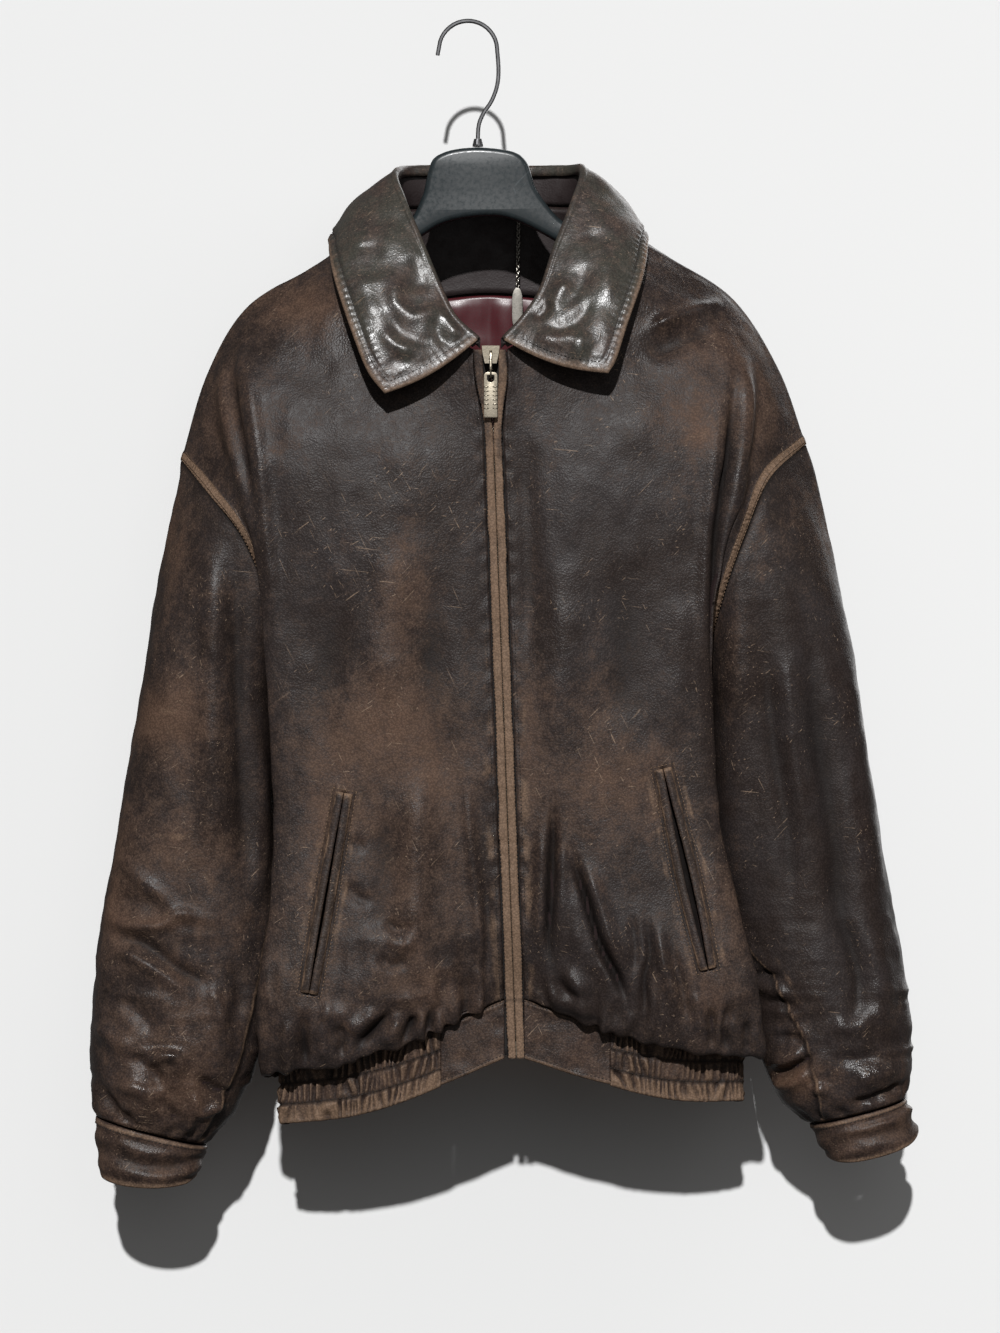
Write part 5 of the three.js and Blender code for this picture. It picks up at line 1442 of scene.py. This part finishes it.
for surface in fronts:
    outer, outward = surface["outer"], surface["outward"]
    line = lineAt(outer, outward, surface["edgeFar"], 3.4, range(len(outer)), False)
    stitchLines["threadDark"].append(line)
    besideArmhole(outer, outward, surface["armFar"], True)
outer = backSurface["outer"]
besideArmhole(outer, outwardOf(outer, 1), backSurface["armRightFar"], False)
besideArmhole(outer, outwardOf(outer, 1), backSurface["armLeftFar"], True)

normals = outwardOf(leafOuter, 1)
flipped = [values.swapaxes(0, 1) for values in (leafOuter, normals, leafRimFar)]
stitchLines["threadDark"].append(lineAt(*flipped, hem, range(5, len(flipped[0]) - 5), True, 0.3))
for fromEnd in (False, True):
    rows = range(leafStart + 6, len(leafOuter) - 6)
    stitchLines["threadDark"].append(lineAt(leafOuter, normals, leafRimFar, hem, rows, fromEnd, 0.3))

for grid, facing, levels in bandRows:
    for level in levels:
        row = int(round(level * (len(grid) - 1)))
        stitchLines["threadDark"].append(grid[row] + outwardOf(grid, facing)[row] * 0.25)
for outer in placketGrids:
    stitchLines["threadDark"].append(outer[:, 7] + np.array([0, -0.35, 0]))
for half, outer in zip(halves, cuffGrids):
    ring = outer[3] + outwardOf(outer, half["sign"], True)[3] * 0.25
    stitchLines["threadDark"].append(np.concatenate([ring, ring[:1]]))


# Geometry node trees for the shapes that repeat along a line.
def geometryTree(name):
    tree = bpy.data.node_groups.new(name, "GeometryNodeTree")
    tree.interface.new_socket("Geometry", in_out="INPUT", socket_type="NodeSocketGeometry")
    for socket, kind in (("Pitch", "Float"), ("Size", "Vector"), ("Material", "Material")):
        tree.interface.new_socket(socket, in_out="INPUT", socket_type="NodeSocket" + kind)
    tree.interface.new_socket("Geometry", in_out="OUTPUT", socket_type="NodeSocketGeometry")
    given = tree.nodes.new("NodeGroupInput").outputs
    values = {"Curve": given["Geometry"], "Length": given["Pitch"]}
    points = addNode(tree, "GeometryNodeCurveToPoints", values, mode="LENGTH").outputs
    return tree, given, points, tree.nodes.new("NodeGroupOutput").inputs


def finishTree(tree, given, result, cloud, unit, **turned):
    placed = addNode(tree, "GeometryNodeInstanceOnPoints", {
        "Points": cloud, "Instance": unit, "Scale": given["Size"], **turned}).outputs[0]
    real = addNode(tree, "GeometryNodeRealizeInstances", {"Geometry": placed}).outputs[0]
    coat = addNode(tree, "GeometryNodeSetMaterial", {"Geometry": real, "Material": given["Material"]})
    tree.links.new(coat.outputs[0], result[0])
    return tree


def stitchTree():
    tree, given, points, result = geometryTree("stitchRow")
    ball = addNode(tree, "GeometryNodeMeshUVSphere", {"Segments": 6, "Rings": 4, "Radius": 0.5}).outputs
    return finishTree(tree, given, result, points["Points"], ball["Mesh"], Rotation=points["Rotation"])


def oddOnes(tree):
    index = addNode(tree, "GeometryNodeInputIndex").outputs[0]
    return calc(tree, "MODULO", index, 2.0)


# Every other link is turned a quarter about the line.
def linkTree():
    tree, given, points, result = geometryTree("chainLinks")
    circle = addNode(tree, "GeometryNodeCurvePrimitiveCircle", {"Resolution": 12, "Radius": 0.5})
    section = addNode(tree, "GeometryNodeCurvePrimitiveCircle", {"Resolution": 6, "Radius": 0.17})
    ring = addNode(tree, "GeometryNodeCurveToMesh", {
        "Curve": circle.outputs["Curve"], "Profile Curve": section.outputs["Curve"]})
    upright = addNode(tree, "GeometryNodeTransform", {
        "Geometry": ring.outputs[0], "Rotation": (math.pi / 2, 0, 0), "Scale": (0.72, 1, 1.25)})
    angles = addNode(tree, "ShaderNodeCombineXYZ", {"Z": times(tree, oddOnes(tree), math.pi / 2)}).outputs[0]
    quarter = addNode(tree, "FunctionNodeEulerToRotation", {0: angles}).outputs[0]
    rotation = addNode(tree, "FunctionNodeRotateRotation", {0: points["Rotation"], 1: quarter},
                       rotation_space="LOCAL").outputs[0]
    return finishTree(tree, given, result, points["Points"], upright.outputs[0], Rotation=rotation)


# Every other tooth is shifted to the other side of the line.
def toothTree():
    tree, given, points, result = geometryTree("teethRow")
    unit = addNode(tree, "GeometryNodeMeshCube", {"Size": (1, 1, 1)}).outputs["Mesh"]
    aside = times(tree, plus(tree, oddOnes(tree), -0.5), zipper["toothShift"] * mm)
    offset = addNode(tree, "ShaderNodeCombineXYZ", {"X": aside}).outputs[0]
    cloud = addNode(tree, "GeometryNodeSetPosition", {"Geometry": points["Points"], "Offset": offset})
    return finishTree(tree, given, result, cloud.outputs[0], unit)


def newCurve(name, lines, **settings):
    curve = bpy.data.curves.new(name, "CURVE")
    for key, value in settings.items():
        setattr(curve, key, value)
    for line in lines:
        part = curve.splines.new("POLY")
        part.points.add(len(line) - 1)
        places = np.zeros((len(line), 4))
        places[:, :np.shape(line)[1]] = np.asarray(line) * mm
        places[:, 3] = 1
        part.points.foreach_set("co", places.reshape(-1))
        part.use_cyclic_u = curve.dimensions == "2D"
    return addObject(name, curve)


def meshFrom(holder, name):
    graph = bpy.context.evaluated_depsgraph_get()
    mesh = bpy.data.meshes.new_from_object(holder.evaluated_get(graph))
    bpy.data.objects.remove(holder)
    mesh.name = name
    return addObject(name, mesh)


def alongLines(name, lines, tree, pitch, size, material):
    holder = newCurve(name + "Line", lines, dimensions="3D")
    modifier = holder.modifiers.new("repeat", "NODES")
    modifier.node_group = tree
    ids = {item.name: item.identifier for item in tree.interface.items_tree if item.in_out == "INPUT"}
    modifier[ids["Pitch"]] = pitch * mm
    modifier[ids["Size"]] = tuple(value * mm for value in size)
    modifier[ids["Material"]] = pieceMaterials[material]
    holder.update_tag()
    piece = meshFrom(holder, name)
    piece.data.polygons.foreach_set("use_smooth", [True] * len(piece.data.polygons))
    return piece


def finishMetal(piece, node=None, rider="jacket"):
    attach(piece, rider)
    if node:
        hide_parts(node)


stitchShape = stitchTree()
stitchSize = (stitching["width"], stitching["width"], stitching["length"])
for thread, lines in stitchLines.items():
    smoothed = []
    for line in lines:
        if len(line) > 8:
            padded = np.concatenate([line[:1], line, line[-1:]])
            smoothed.append((padded[:-2] + 2 * padded[1:-1] + padded[2:]) / 4)
    piece = alongLines("stitches" + thread[6:], smoothed, stitchShape, stitching["pitch"], stitchSize, thread)
    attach(piece, "jacket")
    print(piece.name, len(piece.data.polygons), "faces")

zipper = {"pitch": 2.7, "tooth": (2.6, 2.2, 0.95), "toothShift": 1.1, "colour": (0.42, 0.37, 0.29)}
plainMaterial("zipNickel", zipper["colour"], roughness=0.34, metallic=1.0, marks=0.5,
              markColour=(0.7, 0.65, 0.55), bump=0.3, scale=420.0)
toothZ = np.linspace(-283, bandBottom + 15, 60)
toothLine = np.stack([openingAt(toothZ), openingY(toothZ) + 2.2, toothZ], 1)
piece = alongLines("zipTeeth", [toothLine], toothTree(), 0.5 * zipper["pitch"], zipper["tooth"], "zipNickel")
finishMetal(piece, "zip_chain")


# A flat piece cut to an outline in X and Z, with its edges bevelled all round.
def bevelledOutline(name, outlines, thickness, bevel, place, material):
    holder = newCurve(name, outlines, dimensions="2D", fill_mode="BOTH", extrude=(thickness / 2 - bevel) * mm,
                      bevel_depth=bevel * mm, bevel_resolution=3, offset=-bevel * mm)
    piece = meshFrom(holder, name)
    points = meshPoints(piece)[:, [0, 2, 1]] * np.array([1, -1, 1]) + np.asarray(place) * mm
    setMeshPoints(piece, points)
    tidyMesh(piece)
    piece.data.materials.append(pieceMaterials[material])
    return piece


def meshPoints(piece):
    points = np.empty(len(piece.data.vertices) * 3)
    piece.data.vertices.foreach_get("co", points)
    return points.reshape(-1, 3)


def setMeshPoints(piece, points):
    piece.data.vertices.foreach_set("co", points.reshape(-1))
    piece.data.update()


def tidyMesh(piece, angle=0.6):
    work = bmesh.new()
    work.from_mesh(piece.data)
    bmesh.ops.remove_doubles(work, verts=work.verts, dist=1e-6)
    bmesh.ops.recalc_face_normals(work, faces=work.faces)
    for face in work.faces:
        face.smooth = True
    for edge in work.edges:
        edge.smooth = edge.calc_face_angle(0) < angle
    work.to_mesh(piece.data)
    work.free()


def arcPoints(cx, cz, radius, start, stop, count=8):
    angles = np.linspace(math.radians(start), math.radians(stop), count)
    return [(cx + radius * math.cos(a), cz + radius * math.sin(a)) for a in angles]


pullAxis = np.array([17.444, -75.6, -288.4])  # the bail that the tab swings about
pullTab = {"halfWidth": 5.4, "top": 1.25, "length": 36, "thickness": 1.5, "bevel": 0.3, "topRadius": 3,
           "tipRadius": 1, "ribs": 6, "ribPitch": 3.4, "firstRib": -10.5}
inTop = pullTab["halfWidth"] - pullTab["topRadius"]
inTip = pullTab["halfWidth"] - pullTab["tipRadius"]
topCorner = (pullTab["top"] - pullTab["topRadius"], pullTab["topRadius"])
tipCorner = (pullTab["top"] - pullTab["length"] + pullTab["tipRadius"], pullTab["tipRadius"])
pullOutline = arcPoints(inTop, *topCorner, 0, 90) + arcPoints(-inTop, *topCorner, 90, 180)
pullOutline += arcPoints(-inTip, *tipCorner, 180, 270, 4) + arcPoints(inTip, *tipCorner, 270, 360, 4)
eye = [(2.7, -1.25), (-2.7, -1.25)] + arcPoints(0, -4.15, 2.7, 180, 360, 12)
pull = bevelledOutline("zipPull", [pullOutline, eye], pullTab["thickness"], pullTab["bevel"], pullAxis,
                       "zipNickel")
ribLines = [[pullAxis + (x, -0.7, pullTab["firstRib"] - pullTab["ribPitch"] * k) for x in (-3.4, 3.4)]
            for k in range(pullTab["ribs"])]
ribs = alongLines("zipPullRibs", ribLines, stitchShape, 3.4, (1.3, 1.3, 4.2), "zipNickel")
finishMetal(pull, "zip_pull", "pull_tab")
finishMetal(ribs, rider="pull_tab")

hangChain = {"pitch": 2.788, "link": 3.9, "colour": (0.50, 0.47, 0.42)}
plainMaterial("chainNickel", hangChain["colour"], roughness=0.28, metallic=1.0)
links = linkTree()
chainLines = [("hangChainUpper", [(40, 46.5, -150), (39.6, 47, -180), (39, 47.5, -207)], "hang_chain"),
              ("hangChainLower", [(39, 48, -246), (38.6, 48.5, -262)], "hang_chain_end")]
for name, line, node in chainLines:
    piece = alongLines(name, [line], links, hangChain["pitch"], (hangChain["link"],) * 3, "chainNickel")
    finishMetal(piece, node)
leafHalf = [(0, -208), (2.8, -211), (4.3, -217), (4.5, -226), (4.3, -236), (2.8, -242), (0, -245)]
leafOutline = [(39 + x, z) for x, z in leafHalf] + [(39 - x, z) for x, z in leafHalf[-2::-1]]
leafOutline = spline(leafOutline, np.linspace(0, 1, 49))[:-1]
plate = bevelledOutline("hangPlate", [leafOutline], 1.4, 0.35, (0, 47.9, 0), "chainNickel")
finishMetal(plate, "hang_plate")
print("zip and chain made")

hanger = {"depth": 13.0, "endDepth": 25.0, "rounding": 4.5, "colour": (0.021, 0.028, 0.031),
          "hookColour": (0.33, 0.33, 0.34)}
plainMaterial("hangerPlastic", hanger["colour"], roughness=0.30, marks=0.35, markColour=(0.10, 0.12, 0.13),
              bump=0.06)
plainMaterial("hookChrome", hanger["hookColour"], roughness=0.20, metallic=1.0, marks=0.4,
              markColour=(0.12, 0.10, 0.09), bump=0.12, scale=160.0)
hangerOutline = [
    [(-37, -138), (-33, -120), (-29, -110), (-20, -104.5), (-8, -101.6), (7, -100.6), (24, -101.8),
     (38, -105), (46, -112), (50, -122), (54, -134), (66, -151), (80, -163), (112, -177), (160, -205),
     (202, -231), (211, -242)],
    [(211, -242), (208, -254), (196, -258), (150, -228), (104, -200), (71, -177), (38, -160),
     (14, -156), (-18, -161), (-41, -174), (-76, -199), (-120, -230), (-156, -257), (-170, -266)],
    [(-170, -266), (-180, -262), (-182, -252), (-140, -222), (-92, -191), (-62, -171), (-46, -157),
     (-37, -138)],
]
outline = [spline(run, np.linspace(0, 1, 6 * len(run)))[:-1] for run in hangerOutline]
hangerBody = bevelledOutline("hangerBody", [np.concatenate(outline)], hanger["depth"], hanger["rounding"],
                             (0, 0, 0), "hangerPlastic")
points = meshPoints(hangerBody)
reach = smooth(60, 190, np.abs(points[:, 0] / mm - 11))  # 0 in the middle, 1 at the ends
points[:, 1] = points[:, 1] * (1 + (hanger["endDepth"] / hanger["depth"] - 1) * reach) + 0.004 * reach
setMeshPoints(hangerBody, points)
finishMetal(hangerBody, "hanger_body")
# The pieces that keep their CAD shape take their metal here.
for node, material in (("hanger_hook", "hookChrome"), ("hook_ferrule", "hookChrome"),
                       ("zip_box", "zipNickel"), ("zip_slider", "zipNickel")):
    for piece in bpy.data.objects:
        if piece.name.startswith(node) and piece.type == "MESH":
            for place in piece.material_slots:
                place.link = "OBJECT"
                place.material = pieceMaterials[material]
print("hanger made")

studio = {"key": 3.5, "fill": 4.0, "rim": 2.0, "back": 1.3, "world": 0.12, "wallColour": (0.68, 0.682, 0.68)}
wallY, curveZ, curveRadius = 0.092, -1.35, 0.3
curve = [(wallY - curveRadius * math.sin(a), curveZ - curveRadius * (1 - math.cos(a)))
         for a in np.linspace(0.1, math.pi / 2, 12)]
profile = [(wallY, 3.2), (wallY, curveZ), *curve, (-6.0, curveZ - curveRadius)]
wallPoints = [(x, y, z) for y, z in profile for x in (-5.0, 5.0)]
wallFaces = [(2 * k, 2 * k + 2, 2 * k + 3, 2 * k + 1) for k in range(len(profile) - 1)]
wall = meshObject("backdrop", np.array(wallPoints) / mm, wallFaces, [True] * len(wallFaces))
tree, shader = newMaterial("backdropPaper")
setInputs(tree, shader, {"Base Color": (*studio["wallColour"], 1), "Roughness": 0.9,
                         "Specular IOR Level": 0.1})
path = addNode(tree, "ShaderNodeLightPath")
# The wall shows only from its front and to the camera, so light passes through it from behind.
behindFace = addNode(tree, "ShaderNodeNewGeometry").outputs["Backfacing"]
hidden = calc(tree, "MAXIMUM", calc(tree, "SUBTRACT", 1.0, path.outputs["Is Camera Ray"]), behindFace)
clear = addNode(tree, "ShaderNodeBsdfTransparent")
mixed = addNode(tree, "ShaderNodeMixShader", {0: hidden, 1: shader.outputs[0], 2: clear.outputs[0]})
tree.links.new(mixed.outputs[0], tree.nodes["Material Output"].inputs["Surface"])
wall.data.materials.append(pieceMaterials["backdropPaper"])

world = bpy.data.worlds.new("studioAir")
bpy.context.scene.world = world
world.use_nodes = True
air = world.node_tree
seen = addNode(air, "ShaderNodeLightPath").outputs["Is Camera Ray"]
strength = remap(air, seen, 0.0, 1.0, studio["world"], 0.85)
setInputs(air, air.nodes["Background"], {"Color": (1.0, 0.99, 0.98, 1), "Strength": strength})

lampTarget = Vector((0, 0, -0.5))  # the middle of the jacket


def lamp(name, kind, energy, place, **settings):
    data = bpy.data.lights.new(name, kind)
    data.energy = energy
    for key, value in settings.items():
        setattr(data, key, value)
    light = addObject(name, data)
    light.location = place
    light.rotation_mode = "QUATERNION"
    light.rotation_quaternion = (Vector(place) - lampTarget).to_track_quat("Z", "Y")


lamp("keySun", "SUN", studio["key"], (-0.12, -2.2, 0.9), angle=math.radians(1.4))
lamp("frontFill", "AREA", studio["fill"], (0.5, -2.8, 0.2), size=1.8)
lamp("backFill", "SUN", studio["back"], (0.9, 2.4, 0.6), angle=math.radians(50))
lamp("sideRim", "AREA", studio["rim"], (1.7, -0.6, 0.4), size=0.8)

view = bpy.data.cameras.new("mainCamera")
view.lens = 110
view.sensor_width = 36
view.clip_start = 0.05
camera = addObject("mainCamera", view)
camera.location = (0.0248, -3.288, -0.5194)
camera.rotation_euler = (math.pi / 2, 0, 0)
bpy.context.scene.camera = camera
bpy.context.scene.view_settings.view_transform = "Standard"
print("studio made")

print("scene made")
